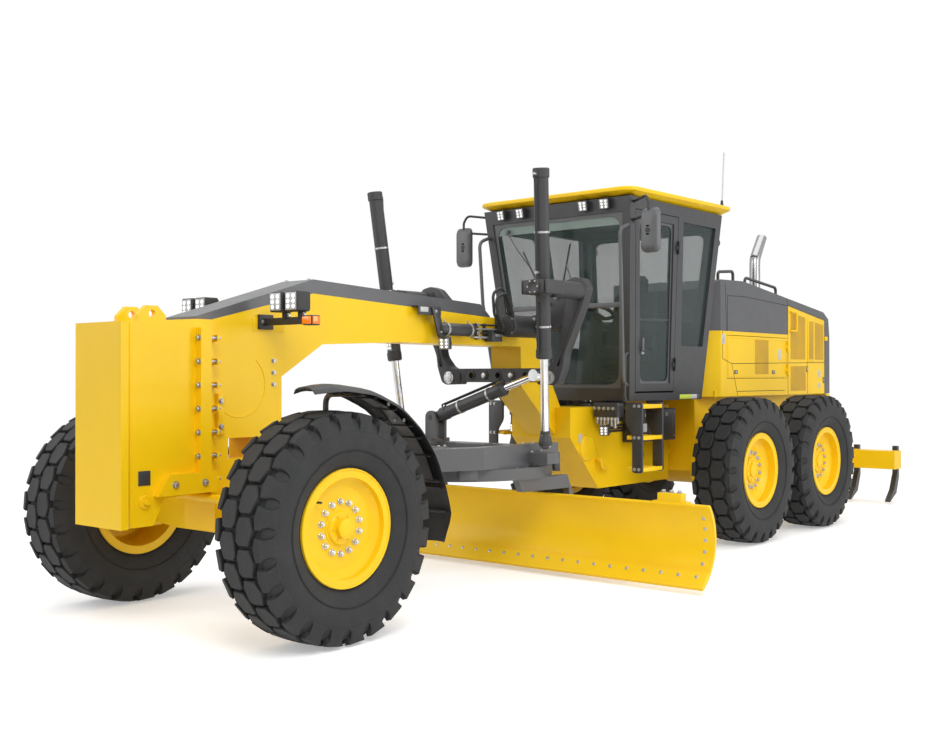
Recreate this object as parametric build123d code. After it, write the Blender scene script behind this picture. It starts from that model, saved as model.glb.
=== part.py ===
from build123d import *
import math
import os

# Motor grader, millimetres. +X is the machine's left, -Y is forwards, +Z is up.
# Stations along the machine are measured from the front axle, heights from the
# ground. On export everything moves so that Y = 0 is the middle of the length.

# Wheels
TYRE_R = 705
TYRE_W = 445
TREAD_W = 390
BEAD_X = 158
SEAT_R = 318
FLANGE_R = 360
FLANGE_T = 14
BARREL_T = 14
WHEEL_Z = TYRE_R
FRONT_WHEEL_X = 1073
REAR_WHEEL_X = 1100
TANDEM_FRONT_Y = 5389
TANDEM_PITCH = 1542
TANDEM_REAR_Y = TANDEM_FRONT_Y + TANDEM_PITCH
RUN_GAP = 0.3
SIDE_GAP = 6
WHEEL_BOLTS = 14

# Front axle and steering
KINGPIN_X = 900
KINGPIN_R = 38
SPINDLE_R = 50
AXLE_HALF_Y = 95
AXLE_BOTTOM_Z = 590
AXLE_TOP_Z = 780
AXLE_PIN_Z = 690
AXLE_PIN_R = 45
AXLE_LUG_T = 55
STEER_ARM_Y = 238
STEER_ARM_X = KINGPIN_X
TIE_PIN_R = 22
FENDER_POST = (KINGPIN_X - 75, 205)
FENDER_POST_Z = 750
TIE_ROD_R = 26
LEAN_BAR_X = 700
LEAN_BAR_Y = -225
LEAN_BAR_Z = 835

# Front frame
HEAD_HALF_X = 165
HEAD_FRONT_Y = -190
HEAD_REAR_Y = 400
HEAD_BOTTOM_Z = 830
HEAD_TOP_Z = 1980
BEAM_BOTTOM_Z = 1868
FRAME_PEAK_Y = 687
FRAME_PEAK_Z = 2198
SADDLE_Y = 2990
SADDLE_HALF_T = 50
LEG_HALF_X = 330
LEG_BOTTOM_Z = 580
DECK_Z = 1330
COVER_T = 100

# Push block
PUSH_FRONT_Y = -894
PUSH_HALF_X = 250
PUSH_BOTTOM_Z = 700
PUSH_TOP_Z = 1945
PUSH_PLATE_T = 50
PUSH_FLANGE_FRONT_Y = -330
PUSH_FLANGE_HALF_X = 260
EYE_X = 110
EYE_Y = -600
EYE_Z = 2005
EYE_R = 24
EYE_T = 40

# Centre hinge
HINGE_Y = 5400
HINGE_PIN_R = 60
HINGE_EYE_R = 115
HINGE_LOW_Z = 700
HINGE_HIGH_Z = 1150
HINGE_EYE_T = 100
HINGE_PLATE_T = 50
HINGE_BODY_GAP = 150

# Cab
CAB_BOTTOM_Z = 1385
CAB_TOP_Z = 3200
CAB_HALF_BOTTOM = 680
CAB_HALF_TOP = 835
CAB_FRONT_BOTTOM_Y = 3985
CAB_FRONT_TOP_Y = 3765
CAB_REAR_BOTTOM_Y = 5300
CAB_REAR_TOP_Y = 5440
CAB_WALL = 62
GLASS_T = 6
GLASS_IN = 24
SEAL_GAP = 6
HINGE_OUT = 16
KNUCKLE_R = 12
KNUCKLE_L = 40
LEAF_L = 40
DOOR_PIN_R = 6
DOOR_FRONT_BOTTOM_Y = 4075
DOOR_FRONT_TOP_Y = 3870
DOOR_REAR_BOTTOM_Y = 4740
DOOR_REAR_TOP_Y = 4610
DOOR_BOTTOM_Z = 1472
SILL_GAP = 16
DOOR_TOP_Z = 3090
DOOR_BORDER = 70
ROOF_HALF_X = 875
ROOF_FRONT_Y = 3700
ROOF_REAR_Y = 5630
ROOF_T = 105

# Blade group
BALL_Y = 590
BALL_Z = 1000
BALL_R = 75
BALL_CUP = 95
BALL_FACE = 28
CIRCLE_Y = 2460
CIRCLE_R = 760
CIRCLE_IN_R = 640
CIRCLE_BOTTOM_Z = 800
CIRCLE_TOP_Z = 890
DRAWBAR_BEAM_H = 170
DRAWBAR_BEAM_W = 130
BLADE_LENGTH = 4267
BLADE_T = 25
CARRIER_X = 640
BLADE_FOOT = (2700, 40)
BLADE_HEEL = (2903, 370)
BLADE_HEAD = (2812, 657)
RAIL_DEPTH = 52
RAIL_REACH_Y = BLADE_HEEL[0] + RAIL_DEPTH
PITCH_BEHIND = 55
PITCH_Y = RAIL_REACH_Y + PITCH_BEHIND
PITCH_Z = 330
PITCH_PIN_R = 35
ARM_X = 700
ARM_T = 60
CARRIER_T = 60
CARRIER_LIP = 40
CARRIER_BACK = 50
CARRIER_Z = (120, 620)
RAIL_H = 60
RAIL_LENGTH = 2800
RAIL_ZS = (170, 480)

# Blade lift cylinders, for the left side
LIFT_TRUNNION = (857, 2457, 2310)
LIFT_EYE = (780, 2590, 1080)
LIFT_BARREL_R = 58
LIFT_ROD_R = 32
LIFT_UP = 920
LIFT_DOWN = 560
LIFT_TRUNNION_R = 34
LIFT_BALL_R = 52
EYE_DRIFT = 62
EYE_SINK = 26
LIFT_SHELF_HALF = 80

# Centre shift cylinder
SHIFT_PIVOT = (-560, 2765, 1250)
SHIFT_EYE = (540, 2775, 1620)
SHIFT_BARREL_R = 55
SHIFT_ROD_R = 30
SHIFT_PIN_R = 24

# Rear frame, hood and engine
RAIL_HALF_X = 430
RAIL_W = 110
RAIL_BOTTOM_Z = 960
RAIL_TOP_Z = 1395
REAR_FACE_Y = 5600
FRAME_REAR_Y = 8600
AXLE_Y = TANDEM_FRONT_Y + TANDEM_PITCH / 2
TANDEM_IN_X = 630
TANDEM_OUT_X = 850
TANDEM_HALF_H = 225
HOOD_HALF_X = 650
HOOD_WALL = 40
HOOD_BOTTOM_Z = 1400
HOOD_SPLIT_Z = 2075
HOOD_FRONT_Y = 5600
HOOD_REAR_Y = 8480
HOOD_CHAMFER = 150
HOOD_CORNER = 175
HOOD_BROW = (160, 2600)
HOOD_CREST = (650, 2610)
HOOD_TAIL = (2700, 2370)
HOOD_NOSE_Z = 2500
HOOD_END = (2850, 2290)
HAND_RAILS = ((300, 630), (900, 1650))
HAND_RAIL_H = 90
DOOR_Y0 = 5890
DOOR_Y1 = 7300
DOOR_Z0 = 1590
DOOR_Z1 = 2030
ENGINE_HALF_X = 300
ENGINE_FRONT_Y = 6150
ENGINE_REAR_Y = 7300
ENGINE_LIFT = 100
ENGINE_TOP_Z = 2030
ENGINE_FEET = (6250, 7100)
EXHAUST_X = 200
EXHAUST_Y = 7420
EXHAUST_R = 62
HANDRAIL_R = 16
HANDRAIL_BEND = 40

# Ripper
RIPPER_PIVOT = (430, 8790, 760)
RIPPER_BEAM_Y = 9450
RIPPER_BEAM_D = 230
RIPPER_BEAM_Z0 = 440
RIPPER_BEAM_Z1 = 665
RIPPER_HALF_X = 1080
RIPPER_ARM_T = 60
RIPPER_BARREL_PIN = (300, 8760, 1290)
RIPPER_EYE = (300, 9500, 770)
RIPPER_BARREL_R = 52
RIPPER_ROD_R = 30
PIN_R = 26

REAR_END_Y = RIPPER_BEAM_Y + RIPPER_BEAM_D + 60
MID_Y = (PUSH_FRONT_Y + REAR_END_Y) / 2

SIDE = Plane(origin=(0, 0, 0), x_dir=(0, 1, 0), z_dir=(1, 0, 0))
BACK = Plane(origin=(0, 0, 0), x_dir=(-1, 0, 0), z_dir=(0, 1, 0))


# Shape helpers
def outline(points, radius=0):
    if radius:
        return make_face(FilletPolyline(*points, radius=radius, close=True))
    return make_face(Polyline(*points, close=True))


def along_x(points, x0, x1, radius=0):
    """Extrude a (y, z) outline between two x stations."""
    solid = extrude(outline(points, radius), amount=x1 - x0)
    return SIDE.offset(x0) * solid


def along_y(points, y0, y1, radius=0):
    """Extrude an (x, z) outline between two y stations."""
    flipped = [(-x, z) for x, z in points]
    solid = extrude(outline(flipped, radius), amount=y1 - y0)
    return BACK.offset(y0) * solid


def along_z(points, z0, z1, radius=0):
    """Extrude an (x, y) outline between two heights."""
    solid = extrude(outline(points, radius), amount=z1 - z0)
    return Pos(0, 0, z0) * solid


def block(x0, x1, y0, y1, z0, z1):
    size = Box(x1 - x0, y1 - y0, z1 - z0)
    return Pos((x0 + x1) / 2, (y0 + y1) / 2, (z0 + z1) / 2) * size


def rod(start, end, radius):
    """A round bar between two points."""
    start = Vector(*start)
    end = Vector(*end)
    plane = Plane(origin=start, z_dir=(end - start).normalized())
    return plane * extrude(Circle(radius), amount=(end - start).length)


def pipe(points, radius, bend):
    """A bent tube's solid along a route with round corners."""
    path = FilletPolyline(*points, radius=bend)
    start = Plane(origin=path @ 0, z_dir=path % 0)
    return sweep(start * Circle(radius), path=path)


def mirrored(shape):
    return mirror(shape, about=Plane.YZ)


def pair(shape):
    return Compound(children=[*shape.solids(), *mirrored(shape).solids()])


def spun(profile_edges):
    """Revolve a closed (x, radius) outline about the X axis."""
    face = make_face(profile_edges)
    return revolve(Plane.XZ * face, axis=Axis.X)


def lerp(start, end, share):
    return tuple(a + (b - a) * share for a, b in zip(start, end))


def toward(start, end, distance):
    """The point at a distance from start on the line to end."""
    return lerp(start, end, distance / math.dist(start, end))


def save(name, shape):
    moved = Pos(0, -MID_Y, 0) * shape
    export_step(moved, f"parts/{name}.step")


# Wheels: x runs outwards from the wheel's middle plane
def tyre():
    half = TYRE_W / 2
    shoulder = TREAD_W / 2
    bulge_r = SEAT_R + 200
    crown_drop = 12
    lip_r = FLANGE_R + 6
    seat_r = SEAT_R + RUN_GAP
    right = [(BEAD_X, seat_r), (BEAD_X, lip_r)]
    edges = Polyline(*right)
    edges += ThreePointArc((BEAD_X, lip_r), (half - 14, bulge_r - 70), (half, bulge_r))
    edges += ThreePointArc((half, bulge_r), (half - 4, bulge_r + 70), (half - 20, TYRE_R - 45))
    edges += Line((half - 20, TYRE_R - 45), (shoulder, TYRE_R - crown_drop))
    edges += ThreePointArc((shoulder, TYRE_R - crown_drop), (0, TYRE_R),
                           (-shoulder, TYRE_R - crown_drop))
    edges += Line((-shoulder, TYRE_R - crown_drop), (20 - half, TYRE_R - 45))
    edges += ThreePointArc((20 - half, TYRE_R - 45), (4 - half, bulge_r + 70), (-half, bulge_r))
    edges += ThreePointArc((-half, bulge_r), (14 - half, bulge_r - 70), (-BEAD_X, lip_r))
    edges += Polyline((-BEAD_X, lip_r), (-BEAD_X, seat_r), (BEAD_X, seat_r))
    return spun(edges)


def wheel_barrel():
    """The rim's barrel with its two flanges."""
    inner = SEAT_R - BARREL_T
    edge = BEAD_X + FLANGE_T
    points = [(-edge, inner), (edge, inner), (edge, FLANGE_R), (BEAD_X, FLANGE_R),
              (BEAD_X, SEAT_R), (-BEAD_X, SEAT_R), (-BEAD_X, FLANGE_R), (-edge, FLANGE_R)]
    return spun(Polyline(*points, close=True))


def disc(face_x, flat_r, cone, thickness, bore_r):
    """A rim's centre disc with a conical edge that meets the barrel."""
    inner = SEAT_R - BARREL_T
    points = [(face_x, bore_r), (face_x, flat_r), (face_x + cone, inner + 1),
              (face_x + cone - thickness, inner + 1), (face_x - thickness, flat_r),
              (face_x - thickness, bore_r)]
    return spun(Polyline(*points, close=True))


def hub(stations):
    """Stacked round steps given as (x0, x1, radius)."""
    body = None
    for x0, x1, radius in stations:
        step = rod((x0, 0, 0), (x1, 0, 0), radius)
        body = step if body is None else body + step
    return body


def nuts(face_x, circle_r, radius, height):
    studs = []
    for index in range(WHEEL_BOLTS):
        angle = math.radians(360 / WHEEL_BOLTS * (index + 0.5))
        y = circle_r * math.cos(angle)
        z = circle_r * math.sin(angle)
        studs.append(rod((face_x, y, z), (face_x + height, y, z), radius))
    return studs


def front_rim():
    face_x = 102
    body = wheel_barrel() + disc(face_x, 256, 30, 20, 60)
    body += hub([(-50, face_x, 105), (face_x - 5, 128, 98), (120, 165, 60)])
    for stud in nuts(face_x, 157, 14, 22):
        body += stud
    return body - rod((-60, 0, 0), (80, 0, 0), SPINDLE_R + RUN_GAP)


def rear_rim():
    face_x = 60
    body = wheel_barrel() + disc(face_x, 230, 40, 22, 60)
    body += hub([(-150, face_x, 125), (face_x - 5, 85, 118), (80, 100, 70)])
    for stud in nuts(face_x, 170, 15, 26):
        body += stud
    return body - rod((-160, 0, 0), (30, 0, 0), SPINDLE_R + 25 + RUN_GAP)


def place_wheel(shape, x, y):
    """Put a wheel's piece on the left, or turned round on the right."""
    turn = 0 if x > 0 else 180
    return Pos(x, y, WHEEL_Z) * Rot(0, 0, turn) * shape


# Front axle and steering
def front_axle():
    tip_x = KINGPIN_X - 90
    rise = 40
    waist = 330
    low = [(-tip_x, AXLE_BOTTOM_Z + rise), (-waist, AXLE_BOTTOM_Z), (waist, AXLE_BOTTOM_Z),
           (tip_x, AXLE_BOTTOM_Z + rise)]
    high = [(tip_x, AXLE_TOP_Z), (waist, AXLE_TOP_Z + rise - 10), (-waist, AXLE_TOP_Z + rise - 10),
            (-tip_x, AXLE_TOP_Z)]
    beam = along_y(low + high, -AXLE_HALF_Y, AXLE_HALF_Y)
    beam -= rod((0, -AXLE_HALF_Y, AXLE_PIN_Z), (0, AXLE_HALF_Y, AXLE_PIN_Z), AXLE_PIN_R)
    yoke_half = 72
    plate_t = 34
    knuckle_half = 110
    eye_r = 62
    for side in (-1, 1):
        x = side * KINGPIN_X
        for z0 in (WHEEL_Z - knuckle_half - plate_t - 1, WHEEL_Z + knuckle_half + 1):
            eye = Pos(x, 0, z0) * extrude(Circle(eye_r), amount=plate_t)
            strap = block(min(x, side * (tip_x - 60)), max(x, side * (tip_x - 60)),
                          -eye_r, eye_r, z0, z0 + plate_t)
            beam += eye + strap
        post_x = sorted((side * (tip_x - 60), side * tip_x))
        beam += block(*post_x, -yoke_half, yoke_half, WHEEL_Z - knuckle_half - plate_t - 1,
                      WHEEL_Z + knuckle_half + 1 + plate_t)
        pin_z = WHEEL_Z - knuckle_half - plate_t - 10
        beam += Pos(x, 0, pin_z) * extrude(Circle(KINGPIN_R), amount=2 * (knuckle_half + plate_t) + 20)
    return beam


def lean_bar():
    """The bar ahead of the axle that ties its two leaning ends together."""
    bar = rod((-LEAN_BAR_X, LEAN_BAR_Y, LEAN_BAR_Z), (LEAN_BAR_X, LEAN_BAR_Y, LEAN_BAR_Z), 28)
    for side in (-1, 1):
        x0, x1 = sorted((side * (LEAN_BAR_X - 28), side * (LEAN_BAR_X + 28)))
        bar += block(x0, x1, LEAN_BAR_Y - 25, 5 - AXLE_HALF_Y, WHEEL_Z - 20, LEAN_BAR_Z + 25)
    return bar


def knuckle():
    """The left steering knuckle with its spindle, steering arm and fender post."""
    half = 110
    body = Pos(KINGPIN_X, 0, WHEEL_Z - half) * extrude(Circle(68), amount=2 * half)
    body += rod((KINGPIN_X, 0, WHEEL_Z), (FRONT_WHEEL_X + 60, 0, WHEEL_Z), SPINDLE_R)
    body += rod((KINGPIN_X, 0, WHEEL_Z), (FRONT_WHEEL_X - 60, 0, WHEEL_Z), 85)
    arm_z = WHEEL_Z - 60
    plan = [(KINGPIN_X - 18, 45), (KINGPIN_X - 18, 120), (STEER_ARM_X - 36, 160),
            (STEER_ARM_X - 36, STEER_ARM_Y + 20), (STEER_ARM_X - 16, STEER_ARM_Y + 38),
            (STEER_ARM_X + 16, STEER_ARM_Y + 38), (STEER_ARM_X + 36, STEER_ARM_Y + 20), (KINGPIN_X + 36, 45)]
    body += along_z(plan, arm_z - 20, arm_z + 20)
    post_x, post_y = FENDER_POST
    bracket = [(KINGPIN_X - 18, 45), (KINGPIN_X - 18, 115), (post_x + 20, post_y - 50),
               (post_x - 25, post_y - 10), (post_x - 25, post_y + 22), (post_x + 25, post_y + 22),
               (KINGPIN_X + 30, 120), (KINGPIN_X + 30, 45)]
    body += along_z(bracket, FENDER_POST_Z, FENDER_POST_Z + 35)
    body += rod((STEER_ARM_X, STEER_ARM_Y, arm_z - 20), (STEER_ARM_X, STEER_ARM_Y, arm_z + 92),
                TIE_PIN_R)
    body -= rod((KINGPIN_X, 0, 0), (KINGPIN_X, 0, 2 * WHEEL_Z), KINGPIN_R + RUN_GAP)
    return body


def tie_rod():
    z = WHEEL_Z - 60 + 56
    bar = rod((-STEER_ARM_X, STEER_ARM_Y, z), (STEER_ARM_X, STEER_ARM_Y, z), TIE_ROD_R)
    for side in (-1, 1):
        x = side * STEER_ARM_X
        bar += rod((x, STEER_ARM_Y, z - TIE_ROD_R - 4), (x, STEER_ARM_Y, z + TIE_ROD_R + 4), 38)
    for side in (-1, 1):
        x = side * STEER_ARM_X
        bar -= rod((x, STEER_ARM_Y, z - 100), (x, STEER_ARM_Y, z + 100), TIE_PIN_R + RUN_GAP)
    return bar


FENDER_HALF_W = 180
FENDER_LINE = [(-357, 1497), (-70, 1576), (238, 1545), (483, 1445), (676, 1290), (809, 1117), (901, 913),
               (965, 720), (971, 507)]


def fender():
    """The left front fender: a crowned guard over the tyre on a bent tube post."""
    inner = [(y * 0.98, (z - WHEEL_Z) * 0.98 + WHEEL_Z) for y, z in FENDER_LINE]
    x0 = FRONT_WHEEL_X - FENDER_HALF_W + 20
    x1 = FRONT_WHEEL_X + FENDER_HALF_W + 20
    guard = along_x(FENDER_LINE + inner[::-1], x0, x1)
    post_x, post_y = FENDER_POST
    beam_z = 1517
    route = [(post_x, post_y, FENDER_POST_Z + 35), (post_x, post_y, beam_z), (FRONT_WHEEL_X + 60, post_y, beam_z)]
    return guard, route


# Front frame
def frame_outline():
    """The main frame's side view, from the head over the arch to the hinge."""
    return [(HEAD_FRONT_Y, HEAD_BOTTOM_Z), (HEAD_FRONT_Y, HEAD_TOP_Z), (FRAME_PEAK_Y, FRAME_PEAK_Z),
            (2516, 2110), (3180, 2090), (3640, DECK_Z), (3640, 1010), (3070, 1520),
            (3055, BEAM_BOTTOM_Z), (1566, BEAM_BOTTOM_Z + 6), (773, 1841), (HEAD_REAR_Y, 1613),
            (HEAD_REAR_Y, HEAD_BOTTOM_Z)]


def front_frame():
    body = along_x(frame_outline(), -HEAD_HALF_X, HEAD_HALF_X)
    end_y = HINGE_Y - HINGE_BODY_GAP
    leg = [(3560, DECK_Z), (end_y, DECK_Z), (end_y, LEG_BOTTOM_Z), (4000, LEG_BOTTOM_Z), (3560, 1060)]
    body += along_x(leg, -LEG_HALF_X, LEG_HALF_X)
    body -= block(-HEAD_HALF_X - 1, HEAD_HALF_X + 1, -50, 210, 1075, 1210)
    for z in (HINGE_LOW_Z, HINGE_HIGH_Z):
        eye = Pos(0, HINGE_Y, z) * extrude(Circle(HINGE_EYE_R), amount=HINGE_EYE_T)
        eye += block(-HINGE_EYE_R - 20, HINGE_EYE_R + 20, end_y - 10, HINGE_Y - 40, z, z + HINGE_EYE_T)
        body += eye - rod((0, HINGE_Y, 0), (0, HINGE_Y, DECK_Z), HINGE_PIN_R + RUN_GAP)
    gap = AXLE_HALF_Y + SIDE_GAP
    lug_low = AXLE_PIN_Z - 80
    for y0 in (-gap - AXLE_LUG_T, gap):
        body += block(-HEAD_HALF_X, HEAD_HALF_X, y0, y0 + AXLE_LUG_T, lug_low, HEAD_BOTTOM_Z + 1)
    body += rod((0, -gap - AXLE_LUG_T, AXLE_PIN_Z), (0, gap + AXLE_LUG_T, AXLE_PIN_Z), AXLE_PIN_R)
    socket = block(-BALL_CUP, BALL_CUP, HEAD_REAR_Y - 5, BALL_Y - BALL_FACE, BALL_Z - BALL_CUP,
                   BALL_Z + BALL_CUP)
    socket -= Pos(0, BALL_Y, BALL_Z) * Sphere(BALL_R + RUN_GAP)
    return body + socket


def frame_cover():
    """The dark cover on top of the frame beam."""
    top = [(-300, HEAD_TOP_Z + 20), (FRAME_PEAK_Y, FRAME_PEAK_Z + COVER_T), (2516, 2210), (2640, 2116)]
    base = [(2640, 2106.6), (2516, 2110.3), (FRAME_PEAK_Y, FRAME_PEAK_Z + 0.3),
            (HEAD_FRONT_Y, HEAD_TOP_Z + 0.3), (-300, HEAD_TOP_Z + 0.3)]
    return along_x(top + base, -HEAD_HALF_X, HEAD_HALF_X)


def push_block():
    end = HEAD_FRONT_Y - 0.3
    plate = block(-PUSH_HALF_X, PUSH_HALF_X, PUSH_FRONT_Y, PUSH_FRONT_Y + PUSH_PLATE_T, PUSH_BOTTOM_Z,
                  PUSH_TOP_Z)
    side = [(PUSH_FRONT_Y + PUSH_PLATE_T, PUSH_BOTTOM_Z), (-640, PUSH_BOTTOM_Z), (-560, 860), (end, 880),
            (end, HEAD_TOP_Z), (-320, HEAD_TOP_Z), (PUSH_FRONT_Y + PUSH_PLATE_T, PUSH_TOP_Z)]
    body = plate + along_x(side, -200, 200)
    flange = block(-PUSH_FLANGE_HALF_X, PUSH_FLANGE_HALF_X, PUSH_FLANGE_FRONT_Y, -250, 900, 1925)
    body += flange
    pad_side = [(-640, 880), (-560, 1010), (-200, 1010), (-200, 880)]
    body += along_x(pad_side, -PUSH_FLANGE_HALF_X, PUSH_FLANGE_HALF_X)
    ear = [(EYE_Y - 100, 1900), (EYE_Y - 100, EYE_Z - 10), (EYE_Y - 40, EYE_Z + 50), (EYE_Y + 40, EYE_Z + 50),
           (EYE_Y + 100, EYE_Z - 10), (EYE_Y + 100, 1900)]
    for x in (-EYE_X - EYE_T / 2, EYE_X - EYE_T / 2):
        plate = along_x(ear, x, x + EYE_T)
        body += plate - rod((x - 5, EYE_Y, EYE_Z), (x + EYE_T + 5, EYE_Y, EYE_Z), EYE_R)
    return body


def saddle():
    """The lift saddle: a plate across the frame, two raised arms, their tubes and the link bar."""
    y0 = SADDLE_Y - SADDLE_HALF_T
    y1 = SADDLE_Y + SADDLE_HALF_T
    arm = [(HEAD_HALF_X + 0.3, 1560), (620, 1530), (620, 1690), (900, 2210), (940, 2330), (900, 2410),
           (800, 2420), (700, 2330), (470, 2080), (HEAD_HALF_X + 0.3, 2080)]
    left = along_y(arm, y0, y1)
    tube_x, tube_y, tube_z = LIFT_TRUNNION
    reach = LIFT_BARREL_R + 62
    left += rod((tube_x, y1 - 20, tube_z), (tube_x, tube_y + reach, tube_z), 72)
    ring_half = 55
    hoop = block(tube_x - 126, tube_x + 126, tube_y - reach, tube_y + reach, tube_z - ring_half,
                 tube_z + ring_half)
    hoop -= block(tube_x - 92, tube_x + 92, tube_y - reach + 34, tube_y + reach - 34,
                  tube_z - ring_half - 5, tube_z + ring_half + 5)
    for y in (tube_y - reach, tube_y + reach - 34):
        hoop -= rod((tube_x, y - 1, tube_z), (tube_x, y + 35, tube_z), LIFT_TRUNNION_R + RUN_GAP)
    left += hoop
    bar = block(-HEAD_HALF_X - 200, HEAD_HALF_X + 200, y0, y1, 1560, 1680)
    return left + mirrored(left) + bar


# Cab
def cab_body(inset):
    """The cab's outer shape, moved in by an inset on every face."""
    front = [(CAB_HALF_BOTTOM - inset, CAB_BOTTOM_Z + inset), (CAB_HALF_TOP - inset, CAB_TOP_Z - inset),
             (inset - CAB_HALF_TOP, CAB_TOP_Z - inset), (inset - CAB_HALF_BOTTOM, CAB_BOTTOM_Z + inset)]
    side = [(CAB_FRONT_BOTTOM_Y + inset, CAB_BOTTOM_Z + inset),
            (CAB_FRONT_TOP_Y + inset, CAB_TOP_Z - inset),
            (CAB_REAR_TOP_Y - inset, CAB_TOP_Z - inset),
            (CAB_REAR_BOTTOM_Y - inset, CAB_BOTTOM_Z + inset)]
    shell = along_y(front, CAB_FRONT_TOP_Y - 100, CAB_REAR_TOP_Y + 100)
    return shell & along_x(side, -CAB_HALF_TOP - 100, CAB_HALF_TOP + 100)


def inset_quad(points, margin):
    """Move a four-sided outline's corners in by a margin, along both of its axes."""
    middle_y = sum(p[0] for p in points) / len(points)
    middle_z = sum(p[1] for p in points) / len(points)
    moved = []
    for y, z in points:
        step_y = margin if y < middle_y else -margin
        step_z = margin if z < middle_z else -margin
        moved.append((y + step_y, z + step_z))
    return moved


DOOR_OUTLINE = [(DOOR_FRONT_BOTTOM_Y, DOOR_BOTTOM_Z), (DOOR_FRONT_TOP_Y, DOOR_TOP_Z),
                (DOOR_REAR_TOP_Y, DOOR_TOP_Z), (DOOR_REAR_BOTTOM_Y, DOOR_BOTTOM_Z)]
DOOR_OPENING = [(DOOR_FRONT_BOTTOM_Y - SEAL_GAP, DOOR_BOTTOM_Z - SILL_GAP),
                (DOOR_FRONT_TOP_Y - SEAL_GAP, DOOR_TOP_Z + SEAL_GAP),
                (DOOR_REAR_TOP_Y + SEAL_GAP, DOOR_TOP_Z + SEAL_GAP),
                (DOOR_REAR_BOTTOM_Y + SEAL_GAP, DOOR_BOTTOM_Z - SILL_GAP)]
QUARTER_OUTLINE = [(DOOR_REAR_BOTTOM_Y + 90, 1900), (DOOR_REAR_TOP_Y + 100, DOOR_TOP_Z - 30),
                   (CAB_REAR_TOP_Y - 110, DOOR_TOP_Z - 30), (CAB_REAR_BOTTOM_Y - 60, 1900)]
FRONT_WINDOW = [(-600, 1500), (-740, 3070), (740, 3070), (600, 1500)]
REAR_WINDOW = [(-600, 2150), (-690, 3050), (690, 3050), (600, 2150)]


def left_half(points, margin=0):
    """A prism through the left wall only, on a side outline grown or shrunk by a margin."""
    grown = inset_quad(points, margin) if margin else points
    return along_x(grown, 300, CAB_HALF_TOP + 200)


def front_prism(points, margin=0):
    grown = inset_quad(points, margin) if margin else points
    return along_y(grown, CAB_FRONT_TOP_Y - 200, CAB_FRONT_BOTTOM_Y + 300)


def rear_prism(points, margin=0):
    grown = inset_quad(points, margin) if margin else points
    return along_y(grown, CAB_REAR_BOTTOM_Y - 300, CAB_REAR_TOP_Y + 200)


def cab_half_x(z):
    """The cab's half width at a height."""
    share = (z - CAB_BOTTOM_Z) / (CAB_TOP_Z - CAB_BOTTOM_Z)
    return CAB_HALF_BOTTOM + (CAB_HALF_TOP - CAB_HALF_BOTTOM) * share


DOOR_AXIS_LOW = (cab_half_x(DOOR_BOTTOM_Z) + HINGE_OUT, DOOR_REAR_BOTTOM_Y + SEAL_GAP / 2, DOOR_BOTTOM_Z)
DOOR_AXIS_HIGH = (cab_half_x(DOOR_TOP_Z) + HINGE_OUT, DOOR_REAR_TOP_Y + SEAL_GAP / 2, DOOR_TOP_Z)
DOOR_HINGES_AT = (250, 1350)


def cab_frame():
    shell = cab_body(0) - cab_body(CAB_WALL)
    sides = left_half(DOOR_OPENING) + left_half(QUARTER_OUTLINE)
    shell -= sides
    shell -= mirrored(sides)
    shell -= front_prism(FRONT_WINDOW)
    shell -= rear_prism(REAR_WINDOW)
    for at in DOOR_HINGES_AT:
        fixed = hinge_parts(DOOR_AXIS_LOW, DOOR_AXIS_HIGH, at)[0]
        shell += fixed
        shell += mirrored(fixed)
    for x, y in ((250, 4150), (250, 5120)):
        foot = pair(block(x - 60, x + 60, y - 60, y + 60, DECK_Z + 0.3, CAB_BOTTOM_Z + 1))
        shell += foot
    return shell


def cab_glass():
    pane = cab_body(GLASS_IN) - cab_body(GLASS_IN + GLASS_T)
    quarter = pane & left_half(QUARTER_OUTLINE)
    panes = [pane & front_prism(FRONT_WINDOW), pane & rear_prism(REAR_WINDOW), quarter,
             mirrored(quarter)]
    return Compound(children=[solid for shape in panes for solid in shape.solids()])


def cab_door():
    wall = cab_body(0) - cab_body(CAB_WALL)
    door = wall & left_half(DOOR_OUTLINE)
    door -= left_half(DOOR_OUTLINE, DOOR_BORDER)
    for at in DOOR_HINGES_AT:
        door += hinge_parts(DOOR_AXIS_LOW, DOOR_AXIS_HIGH, at)[1]
    return door


def door_pane():
    pane = cab_body(GLASS_IN) - cab_body(GLASS_IN + GLASS_T)
    return pane & left_half(DOOR_OUTLINE, DOOR_BORDER)


def cab_roof():
    plan = [(-ROOF_HALF_X, ROOF_FRONT_Y + 60), (-ROOF_HALF_X + 100, ROOF_FRONT_Y),
            (ROOF_HALF_X - 100, ROOF_FRONT_Y), (ROOF_HALF_X, ROOF_FRONT_Y + 60),
            (ROOF_HALF_X, ROOF_REAR_Y - 60), (ROOF_HALF_X - 80, ROOF_REAR_Y),
            (80 - ROOF_HALF_X, ROOF_REAR_Y), (-ROOF_HALF_X, ROOF_REAR_Y - 60)]
    return along_z(plan, CAB_TOP_Z + 0.3, CAB_TOP_Z + ROOF_T)


def seat():
    floor = CAB_BOTTOM_Z + CAB_WALL
    body = block(-150, 150, 4720, 5000, floor, floor + 330)
    body += block(-250, 250, 4600, 5100, floor + 330, floor + 460)
    back = [(5040, floor + 430), (5100, floor + 1000), (5200, floor + 1000), (5170, floor + 430)]
    body += along_x(back, -240, 240)
    return body


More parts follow.
